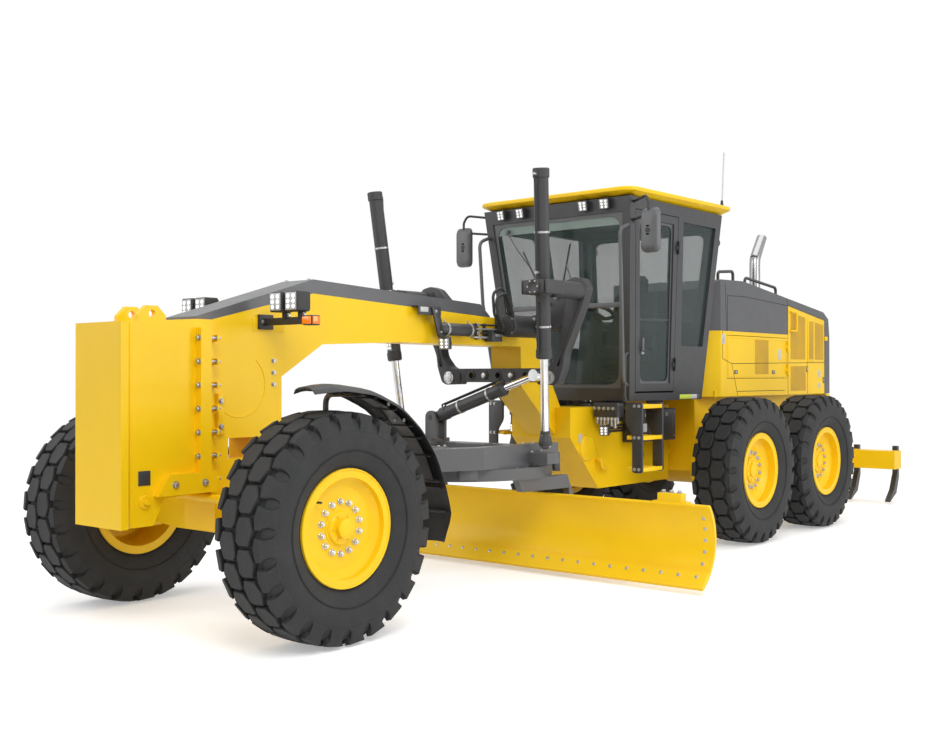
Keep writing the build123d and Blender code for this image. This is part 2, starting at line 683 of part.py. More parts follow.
def console():
    floor = CAB_BOTTOM_Z + CAB_WALL
    post = [(4230, floor), (4330, floor + 700), (4430, floor + 700), (4360, floor)]
    body = along_x(post, -90, 90)
    start = Vector(0, 4390, floor + 690)
    tilt = Vector(0, 0.35, 1).normalized()
    plane = Plane(origin=start + tilt * 90, z_dir=tilt)
    body += rod(tuple(start), tuple(start + tilt * 100), 30)
    rim = plane * (extrude(Circle(200), amount=26) - extrude(Circle(172), amount=26))
    spoke = plane * Pos(0, 0, 13) * Box(370, 36, 20)
    return body + rim + spoke


# Blade group

def drawbar_ball():
    return Pos(0, BALL_Y, BALL_Z) * Sphere(BALL_R)


def drawbar():
    """An A-shaped frame from the ball's rear cup to the plate over the circle."""
    z0 = CIRCLE_TOP_Z + SIDE_GAP
    z1 = z0 + DRAWBAR_BEAM_H
    side_x = LIFT_EYE[0] - LIFT_BALL_R - EYE_DRIFT
    inner_x = side_x - DRAWBAR_BEAM_W
    rear_y = LIFT_EYE[1] + 330
    eye_x, eye_y, eye_z = LIFT_EYE
    left = [(BALL_CUP, BALL_Y + 130), (side_x, CIRCLE_Y - 500), (side_x, rear_y), (inner_x, rear_y),
            (inner_x, CIRCLE_Y - 460), (0, BALL_Y + 330), (0, BALL_Y + 130)]
    half = along_z(left, z0, z1)
    shelf = block(side_x - 20, eye_x + LIFT_SHELF_HALF, eye_y - LIFT_SHELF_HALF,
                  eye_y + LIFT_SHELF_HALF, z0 + 20, eye_z - LIFT_BALL_R - EYE_SINK)
    half += shelf
    body = half + mirrored(half)
    for y in (CIRCLE_Y - 520, rear_y - 160):
        body += block(-inner_x - 10, inner_x + 10, y, y + 150, z0, z1 - 30)
    shoe = along_z(left, CIRCLE_TOP_Z + RUN_GAP, z0 + 1)
    shoe &= Pos(0, CIRCLE_Y, 0) * extrude(Circle(CIRCLE_R - 5) - Circle(CIRCLE_IN_R + 5), amount=z1)
    body += shoe + mirrored(shoe)
    cup = block(-BALL_CUP, BALL_CUP, BALL_Y + BALL_FACE, BALL_Y + 200, BALL_Z - BALL_CUP,
                BALL_Z + BALL_CUP)
    body += cup
    body -= Pos(0, BALL_Y, BALL_Z) * Sphere(BALL_R + RUN_GAP)
    ear_x = SHIFT_PIVOT[0]
    ear_y = SHIFT_PIVOT[1]
    for y in (ear_y - 75, ear_y + 45):
        ear = block(ear_x - 60, ear_x + 60, y, y + 30, z1 - 5, SHIFT_PIVOT[2])
        ear += rod((ear_x, y, SHIFT_PIVOT[2]), (ear_x, y + 30, SHIFT_PIVOT[2]), 60)
        body += ear - rod((ear_x, y - 1, SHIFT_PIVOT[2]), (ear_x, y + 31, SHIFT_PIVOT[2]),
                          SHIFT_PIN_R + RUN_GAP)
    return body


def arm_outline():
    """A circle arm's side view: down from the ring to the pitch pin."""
    front_y = RAIL_REACH_Y + 30
    rear_y = PITCH_Y + 75
    return [(CIRCLE_Y - 160, CIRCLE_BOTTOM_Z + 1), (CIRCLE_Y - 100, 700), (front_y, 690),
            (front_y, PITCH_Z), (rear_y, PITCH_Z), (rear_y, 560),
            (PITCH_Y - 50, CIRCLE_BOTTOM_Z + 1)]


def circle():
    """The turning ring with its two arms."""
    height = CIRCLE_TOP_Z - CIRCLE_BOTTOM_Z
    body = extrude(Circle(CIRCLE_R) - Circle(CIRCLE_IN_R), amount=height)
    body = Pos(0, CIRCLE_Y, CIRCLE_BOTTOM_Z) * body
    for x in (-ARM_X, ARM_X):
        arm = along_x(arm_outline(), x - ARM_T / 2, x + ARM_T / 2)
        arm += rod((x - ARM_T / 2, PITCH_Y, PITCH_Z), (x + ARM_T / 2, PITCH_Y, PITCH_Z), 75)
        arm -= rod((x - ARM_T, PITCH_Y, PITCH_Z), (x + ARM_T, PITCH_Y, PITCH_Z), PITCH_PIN_R + RUN_GAP)
        body += arm
    return body


def blade_carrier():
    """Two saddle plates on a cross tube, notched for the blade's rails."""
    front_y = RAIL_REACH_Y - CARRIER_LIP
    rear_y = PITCH_Y + CARRIER_BACK
    tube_x = ARM_X - ARM_T / 2 - SIDE_GAP
    pin_x = ARM_X + ARM_T / 2
    body = rod((-tube_x, PITCH_Y, PITCH_Z), (tube_x, PITCH_Y, PITCH_Z), 48)
    body += rod((-pin_x, PITCH_Y, PITCH_Z), (pin_x, PITCH_Y, PITCH_Z), PITCH_PIN_R)
    for x in (-CARRIER_X, CARRIER_X - CARRIER_T):
        plate = block(x, x + CARRIER_T, front_y, rear_y, *CARRIER_Z)
        for z in RAIL_ZS:
            plate -= block(x - 1, x + CARRIER_T + 1, front_y - 1, RAIL_REACH_Y + SIDE_GAP,
                           z - RUN_GAP, z + RAIL_H + RUN_GAP)
        body += plate
    return body


BLADE_PROFILE = [BLADE_FOOT, BLADE_HEEL, BLADE_HEAD]


def arc_center(points):
    """The centre and radius of the circle through three points."""
    (x1, y1), (x2, y2), (x3, y3) = points
    d = 2 * (x1 * (y2 - y3) + x2 * (y3 - y1) + x3 * (y1 - y2))
    s1 = x1 * x1 + y1 * y1
    s2 = x2 * x2 + y2 * y2
    s3 = x3 * x3 + y3 * y3
    cx = (s1 * (y2 - y3) + s2 * (y3 - y1) + s3 * (y1 - y2)) / d
    cy = (s1 * (x3 - x2) + s2 * (x1 - x3) + s3 * (x2 - x1)) / d
    return (cx, cy), math.dist((cx, cy), points[0])


def moldboard():
    """The curved blade plate with its stiff top edge and two sliding rails."""
    centre, radius = arc_center(BLADE_PROFILE)
    low, mid, high = BLADE_PROFILE
    inner = [toward(centre, p, radius - BLADE_T) for p in BLADE_PROFILE]
    edges = ThreePointArc(low, mid, high)
    edges += Line(high, inner[2])
    edges += ThreePointArc(inner[2], inner[1], inner[0])
    edges += Line(inner[0], low)
    half = BLADE_LENGTH / 2
    body = SIDE.offset(-half) * extrude(make_face(edges), amount=BLADE_LENGTH)
    for z in RAIL_ZS:
        reach = math.sqrt(radius ** 2 - (z + RAIL_H / 2 - centre[1]) ** 2)
        back = centre[0] + reach - BLADE_T / 2
        body += block(-RAIL_LENGTH / 2, RAIL_LENGTH / 2, back, RAIL_REACH_Y, z, z + RAIL_H)
    return body


def cutting_edge():
    """The straight wear plate bolted along the blade's lower front, with two end bits."""
    half = BLADE_LENGTH / 2
    centre, radius = arc_center(BLADE_PROFILE)
    plate = [(2605, 2), (2628, 2), (2700, 35), (2745, 90), (2790, 150), (2770, 165), (2718, 100), (2675, 50)]
    body = along_x(plate, -half, half)
    cylinder = rod((-half - 2, centre[0], centre[1]), (half + 2, centre[0], centre[1]), radius - BLADE_T)
    return body & cylinder


# Door hinges: the axis stands off the wall, and the leaves reach rearwards and forwards
def hinge_parts(low, high, at):
    """One hinge's fixed part with its pin, and the part that turns with the door."""
    centre = Vector(*toward(low, high, at))
    axis = (Vector(*high) - Vector(*low)).normalized()
    plane = Plane(origin=centre, x_dir=Vector(0, 1, 0) - axis * axis.Y, z_dir=axis)
    sink = HINGE_OUT + 3
    outer = extrude(Circle(KNUCKLE_R), amount=KNUCKLE_L)
    leaf = Pos(LEAF_L / 2, sink / 2 + 2, KNUCKLE_L / 2) * Box(LEAF_L, sink - 4, KNUCKLE_L)
    fixed = extrude(Circle(DOOR_PIN_R), amount=KNUCKLE_L * 3 / 2, both=True)
    for z in (-KNUCKLE_L * 3 / 2, KNUCKLE_L / 2):
        fixed += Pos(0, 0, z) * (outer + leaf)
    short = KNUCKLE_L - 2
    turning = Pos(0, 0, -short / 2) * extrude(Circle(KNUCKLE_R), amount=short)
    turning += Pos(-LEAF_L / 2, sink / 2 + 2, 0) * Box(LEAF_L, sink - 4, short)
    turning -= extrude(Circle(DOOR_PIN_R + RUN_GAP), amount=KNUCKLE_L, both=True)
    return plane * fixed, plane * turning


# Cylinders: distances run from the barrel's pivot towards the rod's eye
def barrel(pivot, eye, tail, head, outer_r, rod_r, wall=12, gland=70):
    start = toward(pivot, eye, tail)
    end = toward(pivot, eye, head)
    inside = toward(pivot, eye, head - gland)
    first = toward(pivot, eye, tail + 40)
    body = rod(start, end, outer_r) - rod(first, inside, outer_r - wall)
    return body - rod(inside, toward(pivot, eye, head + 1), rod_r + RUN_GAP)


def piston_rod(pivot, eye, piston_at, outer_r, rod_r, wall=12):
    piston = rod(toward(pivot, eye, piston_at), toward(pivot, eye, piston_at + 45),
                 outer_r - wall - RUN_GAP)
    return piston + rod(toward(pivot, eye, piston_at), eye, rod_r)


def lift_barrel():
    x, y, z = LIFT_TRUNNION
    body = barrel(LIFT_TRUNNION, LIFT_EYE, -LIFT_UP, LIFT_DOWN, LIFT_BARREL_R, LIFT_ROD_R)
    reach = LIFT_BARREL_R + 62
    pins = rod((x, y - reach + 2, z), (x, y - LIFT_BARREL_R + 20, z), LIFT_TRUNNION_R)
    pins += rod((x, y + LIFT_BARREL_R - 20, z), (x, y + reach - 2, z), LIFT_TRUNNION_R)
    pins -= rod(toward(LIFT_TRUNNION, LIFT_EYE, -200), toward(LIFT_TRUNNION, LIFT_EYE, 200),
                LIFT_BARREL_R - 12)
    return body + pins


def lift_rod():
    body = piston_rod(LIFT_TRUNNION, LIFT_EYE, LIFT_DOWN - 400, LIFT_BARREL_R, LIFT_ROD_R)
    return body + Pos(*LIFT_EYE) * Sphere(LIFT_BALL_R)


def shift_barrel():
    x, y, z = SHIFT_PIVOT
    body = barrel(SHIFT_PIVOT, SHIFT_EYE, 80, 820, SHIFT_BARREL_R, SHIFT_ROD_R)
    body += rod(SHIFT_PIVOT, toward(SHIFT_PIVOT, SHIFT_EYE, 90), 34)
    body += rod((x, y - 39, z), (x, y + 39, z), 52)
    body += rod((x, y - 75, z), (x, y + 75, z), SHIFT_PIN_R)
    return body


def shift_rod():
    x, y, z = SHIFT_EYE
    body = piston_rod(SHIFT_PIVOT, SHIFT_EYE, 400, SHIFT_BARREL_R, SHIFT_ROD_R)
    return body + rod((x, y - 33, z), (x, y + 33, z), 50)


# Rear frame and power unit
def rear_frame():
    rail = block(RAIL_HALF_X - RAIL_W, RAIL_HALF_X, REAR_FACE_Y, FRAME_REAR_Y, RAIL_BOTTOM_Z, RAIL_TOP_Z)
    body = rail + mirrored(rail)
    body += block(-RAIL_HALF_X, RAIL_HALF_X, REAR_FACE_Y, REAR_FACE_Y + 80, 640, RAIL_TOP_Z)
    body += block(-RAIL_HALF_X, RAIL_HALF_X, 7650, 7750, RAIL_BOTTOM_Z, RAIL_TOP_Z)
    body += block(-600, 600, FRAME_REAR_Y - 100, FRAME_REAR_Y, 620, RAIL_TOP_Z)
    gap = SIDE_GAP
    for z in (HINGE_LOW_Z, HINGE_HIGH_Z):
        for z0 in (z - gap - HINGE_PLATE_T, z + HINGE_EYE_T + gap):
            fork = Pos(0, HINGE_Y, z0) * extrude(Circle(HINGE_EYE_R), amount=HINGE_PLATE_T)
            body += fork + block(-HINGE_EYE_R - 20, HINGE_EYE_R + 20, HINGE_Y + 40, REAR_FACE_Y + 10, z0,
                                 z0 + HINGE_PLATE_T)
        body += rod((0, HINGE_Y, z - gap - HINGE_PLATE_T),
                    (0, HINGE_Y, z + HINGE_EYE_T + gap + HINGE_PLATE_T), HINGE_PIN_R)
    pad = block(RAIL_HALF_X - RAIL_W, RAIL_HALF_X, AXLE_Y - 140, AXLE_Y + 140, WHEEL_Z + 120,
                RAIL_BOTTOM_Z + 1)
    body += pad + mirrored(pad)
    casing = [(-TANDEM_IN_X, 0), (-TANDEM_IN_X, 150), (-320, 150), (-180, 242), (180, 242), (320, 150),
              (TANDEM_IN_X, 150), (TANDEM_IN_X, 0)]
    body += Pos(0, AXLE_Y, WHEEL_Z) * spun(Polyline(*casing, close=True))
    for side in (-1, 1):
        x, y, z = RIPPER_PIVOT
        for x0 in (x - RIPPER_ARM_T / 2 - SIDE_GAP - 40, x + RIPPER_ARM_T / 2 + SIDE_GAP):
            lug = along_x([(FRAME_REAR_Y - 5, z - 130), (y, z - 75), (y + 60, z - 30), (y + 60, z + 40),
                           (y, z + 75), (FRAME_REAR_Y - 5, z + 130)], x0, x0 + 40)
            lug -= rod((x0 - 1, y, z), (x0 + 41, y, z), PIN_R + RUN_GAP)
            body += lug if side > 0 else mirrored(lug)
        x, y, z = RIPPER_BARREL_PIN
        for x0 in (x - 75, x + 45):
            lug = along_x([(FRAME_REAR_Y - 5, z - 100), (y + 20, z - 50), (y + 50, z), (y + 20, z + 50),
                           (FRAME_REAR_Y - 5, z + 90)], x0, x0 + 30)
            lug -= rod((x0 - 1, y, z), (x0 + 31, y, z), PIN_R + RUN_GAP)
            body += lug if side > 0 else mirrored(lug)
    return body


def tandem_housing():
    """The left tandem case, with a spindle at each wheel."""
    y0 = TANDEM_FRONT_Y
    y1 = TANDEM_REAR_Y
    body = block(TANDEM_IN_X, TANDEM_OUT_X, y0, y1, WHEEL_Z - TANDEM_HALF_H, WHEEL_Z + TANDEM_HALF_H)
    for y in (y0, y1):
        body += rod((TANDEM_IN_X, y, WHEEL_Z), (TANDEM_OUT_X, y, WHEEL_Z), TANDEM_HALF_H)
        body += rod((TANDEM_OUT_X - 5, y, WHEEL_Z), (REAR_WHEEL_X - 160, y, WHEEL_Z), 135)
        body += rod((TANDEM_OUT_X - 5, y, WHEEL_Z), (REAR_WHEEL_X + 20, y, WHEEL_Z), SPINDLE_R + 25)
    return body


HOOD_TOP_LINE = [(HOOD_FRONT_Y, HOOD_NOSE_Z)]
for back, height in (HOOD_BROW, HOOD_CREST, HOOD_TAIL, HOOD_END):
    HOOD_TOP_LINE.append((HOOD_FRONT_Y + back, height))


def hood_top_z(y):
    """A seat just above the hood's top at a station, for a foot that is cut level."""
    for (y0, z0), (y1, z1) in zip(HOOD_TOP_LINE, HOOD_TOP_LINE[1:]):
        if y0 <= y <= y1:
            slope = (z1 - z0) / (y1 - y0)
            return z0 + slope * (y - y0) + abs(slope) * HANDRAIL_R + RUN_GAP


def hood_prism(inset, z0, z1):
    """The hood's plan with cut front corners, moved in by an inset."""
    half = HOOD_HALF_X - inset
    y0 = HOOD_FRONT_Y + inset
    y1 = HOOD_REAR_Y - inset
    plan = [(-half + HOOD_CORNER, y0), (half - HOOD_CORNER, y0), (half, y0 + HOOD_CHAMFER),
            (half, y1), (-half, y1), (-half, y0 + HOOD_CHAMFER)]
    return along_z(plan, z0, z1)


SERVICE_AXIS_LOW = (HOOD_HALF_X + HINGE_OUT, DOOR_Y1 + SEAL_GAP / 2, DOOR_Z0)
SERVICE_AXIS_HIGH = (HOOD_HALF_X + HINGE_OUT, DOOR_Y1 + SEAL_GAP / 2, DOOR_Z1)
SERVICE_HINGES_AT = (90, 350)


def hood():
    body = hood_prism(0, HOOD_BOTTOM_Z, HOOD_SPLIT_Z) - hood_prism(HOOD_WALL, 0, 4000)
    cut = block(HOOD_HALF_X - HOOD_WALL - 5, HOOD_HALF_X + 5, DOOR_Y0 - SEAL_GAP, DOOR_Y1 + SEAL_GAP,
                DOOR_Z0 - SEAL_GAP, DOOR_Z1 + SEAL_GAP)
    body -= cut
    body -= mirrored(cut)
    for at in SERVICE_HINGES_AT:
        fixed = hinge_parts(SERVICE_AXIS_LOW, SERVICE_AXIS_HIGH, at)[0]
        body += fixed
        body += mirrored(fixed)
    inner = RAIL_HALF_X - RAIL_W
    for y in (5700, 8300):
        shelf = block(inner, HOOD_HALF_X - HOOD_WALL + 1, y, y + 120, RAIL_TOP_Z + 0.3, HOOD_BOTTOM_Z + 60)
        body += shelf + mirrored(shelf)
    return body


def hood_top():
    line = HOOD_TOP_LINE
    shell = along_x([(HOOD_FRONT_Y, HOOD_SPLIT_Z + 0.3)] + line + [(HOOD_REAR_Y, HOOD_SPLIT_Z + 0.3)],
                    -1000, 1000)
    lowered = [(y, z - HOOD_WALL) for y, z in line]
    lowered[0] = (HOOD_FRONT_Y - 10, line[0][1] - 1.4 * HOOD_WALL)
    core = along_x([(HOOD_FRONT_Y - 10, 1900)] + lowered + [(HOOD_REAR_Y, 1900)], -1000, 1000)
    body = shell & hood_prism(0, 1000, 4000)
    body -= core & hood_prism(HOOD_WALL, 1000, 4000)
    return body - rod((EXHAUST_X, EXHAUST_Y, HOOD_SPLIT_Z), (EXHAUST_X, EXHAUST_Y, 3000),
                      EXHAUST_R + RUN_GAP)


def service_door():
    door = block(HOOD_HALF_X - HOOD_WALL, HOOD_HALF_X, DOOR_Y0, DOOR_Y1, DOOR_Z0, DOOR_Z1)
    for at in SERVICE_HINGES_AT:
        door += hinge_parts(SERVICE_AXIS_LOW, SERVICE_AXIS_HIGH, at)[1]
    return door


def engine():
    body = block(-ENGINE_HALF_X, ENGINE_HALF_X, ENGINE_FRONT_Y, ENGINE_REAR_Y, RAIL_TOP_Z + ENGINE_LIFT,
                 ENGINE_TOP_Z)
    inner = RAIL_HALF_X - RAIL_W
    for y in ENGINE_FEET:
        foot = block(ENGINE_HALF_X - 20, inner + 60, y, y + 100, RAIL_TOP_Z + RUN_GAP,
                     RAIL_TOP_Z + ENGINE_LIFT + 60)
        body += foot + mirrored(foot)
    return body


def exhaust():
    route = [(EXHAUST_X, EXHAUST_Y, 2400), (EXHAUST_X, EXHAUST_Y, 2980), (EXHAUST_X, EXHAUST_Y + 180, 3230)]
    return pipe(route, EXHAUST_R, 160)


def hood_rails():
    x = HOOD_HALF_X - 110
    rails = []
    for back0, back1 in HAND_RAILS:
        y0 = HOOD_FRONT_Y + back0
        y1 = HOOD_FRONT_Y + back1
        z0 = hood_top_z(y0)
        z1 = hood_top_z(y1)
        route = [(x, y0, z0), (x, y0, z0 + HAND_RAIL_H), (x, y1, z1 + HAND_RAIL_H + 20), (x, y1, z1)]
        rails.append(pipe(route, HANDRAIL_R, HANDRAIL_BEND))
    solids = [s for r in rails for s in r.solids()]
    return Compound(children=[*solids, *[s for r in rails for s in mirrored(r).solids()]])


# Ripper
def ripper_frame():
    x, y, z = RIPPER_PIVOT
    body = block(-RIPPER_HALF_X, RIPPER_HALF_X, RIPPER_BEAM_Y, RIPPER_BEAM_Y + RIPPER_BEAM_D,
                 RIPPER_BEAM_Z0, RIPPER_BEAM_Z1)
    arm = [(y - 70, z - 20), (y - 40, z + 60), (y + 60, z + 60), (RIPPER_BEAM_Y + 10, RIPPER_BEAM_Z1),
           (RIPPER_BEAM_Y + 10, RIPPER_BEAM_Z0 + 20), (y + 20, z - 70)]
    left = along_x(arm, x - RIPPER_ARM_T / 2, x + RIPPER_ARM_T / 2)
    left += rod((x - 90, y, z), (x + 90, y, z), PIN_R)
    ex, ey, ez = RIPPER_EYE
    for x0 in (ex - 75, ex + 45):
        left += along_x([(ey - 50, RIPPER_BEAM_Z1 - 5), (ey - 40, ez - 60), (ey + 90, ez - 60),
                         (ey + 110, RIPPER_BEAM_Z1 - 5)], x0, x0 + 30)
    return body + left + mirrored(left)


SHANK_XS = (-1000, -500, 0, 500, 1000)


def ripper_shanks():
    y = RIPPER_BEAM_Y + RIPPER_BEAM_D
    shank = [(y + 0.3, 720), (y + 60, 720), (y + 60, 330), (y - 30, 130), (y - 250, 30), (y - 255, 55),
             (y - 110, 180), (y + 0.3, 380)]
    return Compound(children=[along_x(shank, x - 32, x + 32) for x in SHANK_XS])


def ripper_barrel():
    x, y, z = RIPPER_BARREL_PIN
    body = barrel(RIPPER_BARREL_PIN, RIPPER_EYE, 80, 560, RIPPER_BARREL_R, RIPPER_ROD_R)
    body += rod(RIPPER_BARREL_PIN, toward(RIPPER_BARREL_PIN, RIPPER_EYE, 90), 34)
    body += rod((x - 39, y, z), (x + 39, y, z), 48)
    body += rod((x - 75, y, z), (x + 75, y, z), PIN_R)
    return body


def ripper_rod():
    x, y, z = RIPPER_EYE
    body = piston_rod(RIPPER_BARREL_PIN, RIPPER_EYE, 330, RIPPER_BARREL_R, RIPPER_ROD_R)
    return body + rod((x - 36, y, z), (x + 36, y, z), 48)


# Cab fittings
def ladder():
    """The left ladder: two side plates, three treads and the hanger to the frame."""
    x0, x1 = 700, 880
    body = None
    for y in (3880, 4225):
        plate = along_y([(x0, 780), (x0 + 60, 750), (x1, 750), (x1, 1180), (x1 - 60, 1380), (x0, 1380)],
                        y, y + 25)
        body = plate if body is None else body + plate
    for z in (770, 975, 1180):
        body += block(x0 + 5, x1 - 5, 3890, 4240, z, z + 30)
    body += block(LEG_HALF_X + 0.3, x0 + 5, 4020, 4120, 1200, 1260)
    return body


def side_box():
    return block(LEG_HALF_X + 0.3, 480, 4400, 5150, 980, 1300)


def mirror_left():
    route = [(800, 3850, 3130), (1030, 3730, 3180), (1030, 3730, 2660)]
    arm = pipe(route, 14, 50)
    head = along_y([(985, 2690), (1135, 2690), (1135, 3050), (985, 3050)], 3695, 3760)
    return (arm + head) - cab_body(-RUN_GAP)


def lamp_left():
    """A head lamp on its post, beside the frame's nose."""
    body = block(HEAD_HALF_X + 0.3, 600, 230, 270, 1960, 2000)
    for x in (345, 500):
        body += block(x, x + 120, 150, 260, 2040, 2165) + block(x + 45, x + 75, 220, 260, 1990, 2050)
    return body


def antenna():
    return rod((780, 5540, CAB_TOP_Z + ROOF_T - 5), (790, 5570, 3855), 7)


os.makedirs("parts", exist_ok=True)

save("front_frame", front_frame())
save("frame_cover", frame_cover())
save("push_block", push_block())
save("front_axle", front_axle() + lean_bar())
save("saddle", saddle())
save("cab_frame", cab_frame())
save("cab_glass", cab_glass())
save("cab_roof", cab_roof() + antenna())
save("seat", seat())
save("console", console())
save("ladders", pair(ladder()))
save("valve_boxes", pair(side_box()))
save("mirrors", pair(mirror_left()))
save("lamps", pair(lamp_left()))

for side, name in ((1, "left"), (-1, "right")):
    def hand(shape):
        return shape if side > 0 else mirrored(shape)
    save(f"knuckle_{name}", hand(knuckle()))
    guard, post = fender()
    save(f"fender_{name}", hand(guard + pipe(post, 18, 60)))
    save(f"front_rim_{name}", place_wheel(front_rim(), side * FRONT_WHEEL_X, 0))
    save(f"front_tyre_{name}", place_wheel(tyre(), side * FRONT_WHEEL_X, 0))
    for row, y in (("mid", TANDEM_FRONT_Y), ("rear", TANDEM_REAR_Y)):
        save(f"{row}_rim_{name}", place_wheel(rear_rim(), side * REAR_WHEEL_X, y))
        save(f"{row}_tyre_{name}", place_wheel(tyre(), side * REAR_WHEEL_X, y))
    save(f"cab_door_{name}", hand(cab_door()))
    save(f"door_pane_{name}", hand(door_pane()))
    save(f"service_door_{name}", hand(service_door()))
    save(f"lift_barrel_{name}", hand(lift_barrel()))
    save(f"lift_rod_{name}", hand(lift_rod()))

save("tie_rod", tie_rod())
save("drawbar_ball", drawbar_ball())
save("drawbar", drawbar())
save("circle", circle())
save("blade_carrier", blade_carrier())
save("moldboard", moldboard())
save("cutting_edge", cutting_edge())
save("shift_barrel", shift_barrel())
save("shift_rod", shift_rod())
save("rear_frame", rear_frame())
save("tandem_housings", pair(tandem_housing()))
save("hood", hood())
save("hood_top", hood_top())
save("engine", engine())
save("exhaust", exhaust())
save("hood_rails", hood_rails())
save("ripper_frame", ripper_frame())
save("ripper_shanks", ripper_shanks())
save("ripper_barrels", pair(ripper_barrel()))
save("ripper_rods", pair(ripper_rod()))
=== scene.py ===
import bpy
import bmesh
import math
from mathutils import Matrix, Vector


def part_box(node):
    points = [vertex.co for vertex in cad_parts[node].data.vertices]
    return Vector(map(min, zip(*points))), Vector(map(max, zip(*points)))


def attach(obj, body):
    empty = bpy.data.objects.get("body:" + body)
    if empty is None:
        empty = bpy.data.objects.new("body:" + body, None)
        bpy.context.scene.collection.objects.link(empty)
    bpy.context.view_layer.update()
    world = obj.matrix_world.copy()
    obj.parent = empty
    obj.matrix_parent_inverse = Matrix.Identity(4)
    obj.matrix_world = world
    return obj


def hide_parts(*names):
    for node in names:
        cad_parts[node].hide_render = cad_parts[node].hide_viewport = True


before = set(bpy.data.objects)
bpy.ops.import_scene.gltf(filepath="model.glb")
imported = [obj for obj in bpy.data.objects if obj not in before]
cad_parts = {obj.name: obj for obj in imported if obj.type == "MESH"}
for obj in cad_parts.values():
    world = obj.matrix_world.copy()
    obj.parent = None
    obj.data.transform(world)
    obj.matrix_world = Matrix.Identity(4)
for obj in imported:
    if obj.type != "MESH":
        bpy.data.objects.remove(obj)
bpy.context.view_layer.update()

bl_info = {
    "name": "Motor Grader Dressing",
    "version": (1, 0, 0),
    "blender": (4, 5, 0),
    "location": "View3D > Sidebar > Grader",
    "description": "Dresses the packed motor grader with tyres, fittings, glass and finishes",
    "category": "Object",
}


def node_centre(node):
    low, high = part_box(node)
    return (Vector(low) + Vector(high)) / 2


# Stations are millimetres from the front axle.
AXLE_LEFT = node_centre("front_tyre_left")
MM = 0.001
X_WAY, Y_WAY, Z_WAY = Vector((1, 0, 0)), Vector((0, 1, 0)), Vector((0, 0, 1))


def at(x, y, z):
    """A station in millimetres, as a point in the frame's metres."""
    return Vector((x * MM, AXLE_LEFT.y + y * MM, z * MM))


def flip(point):
    return Vector((-point.x, point.y, point.z))


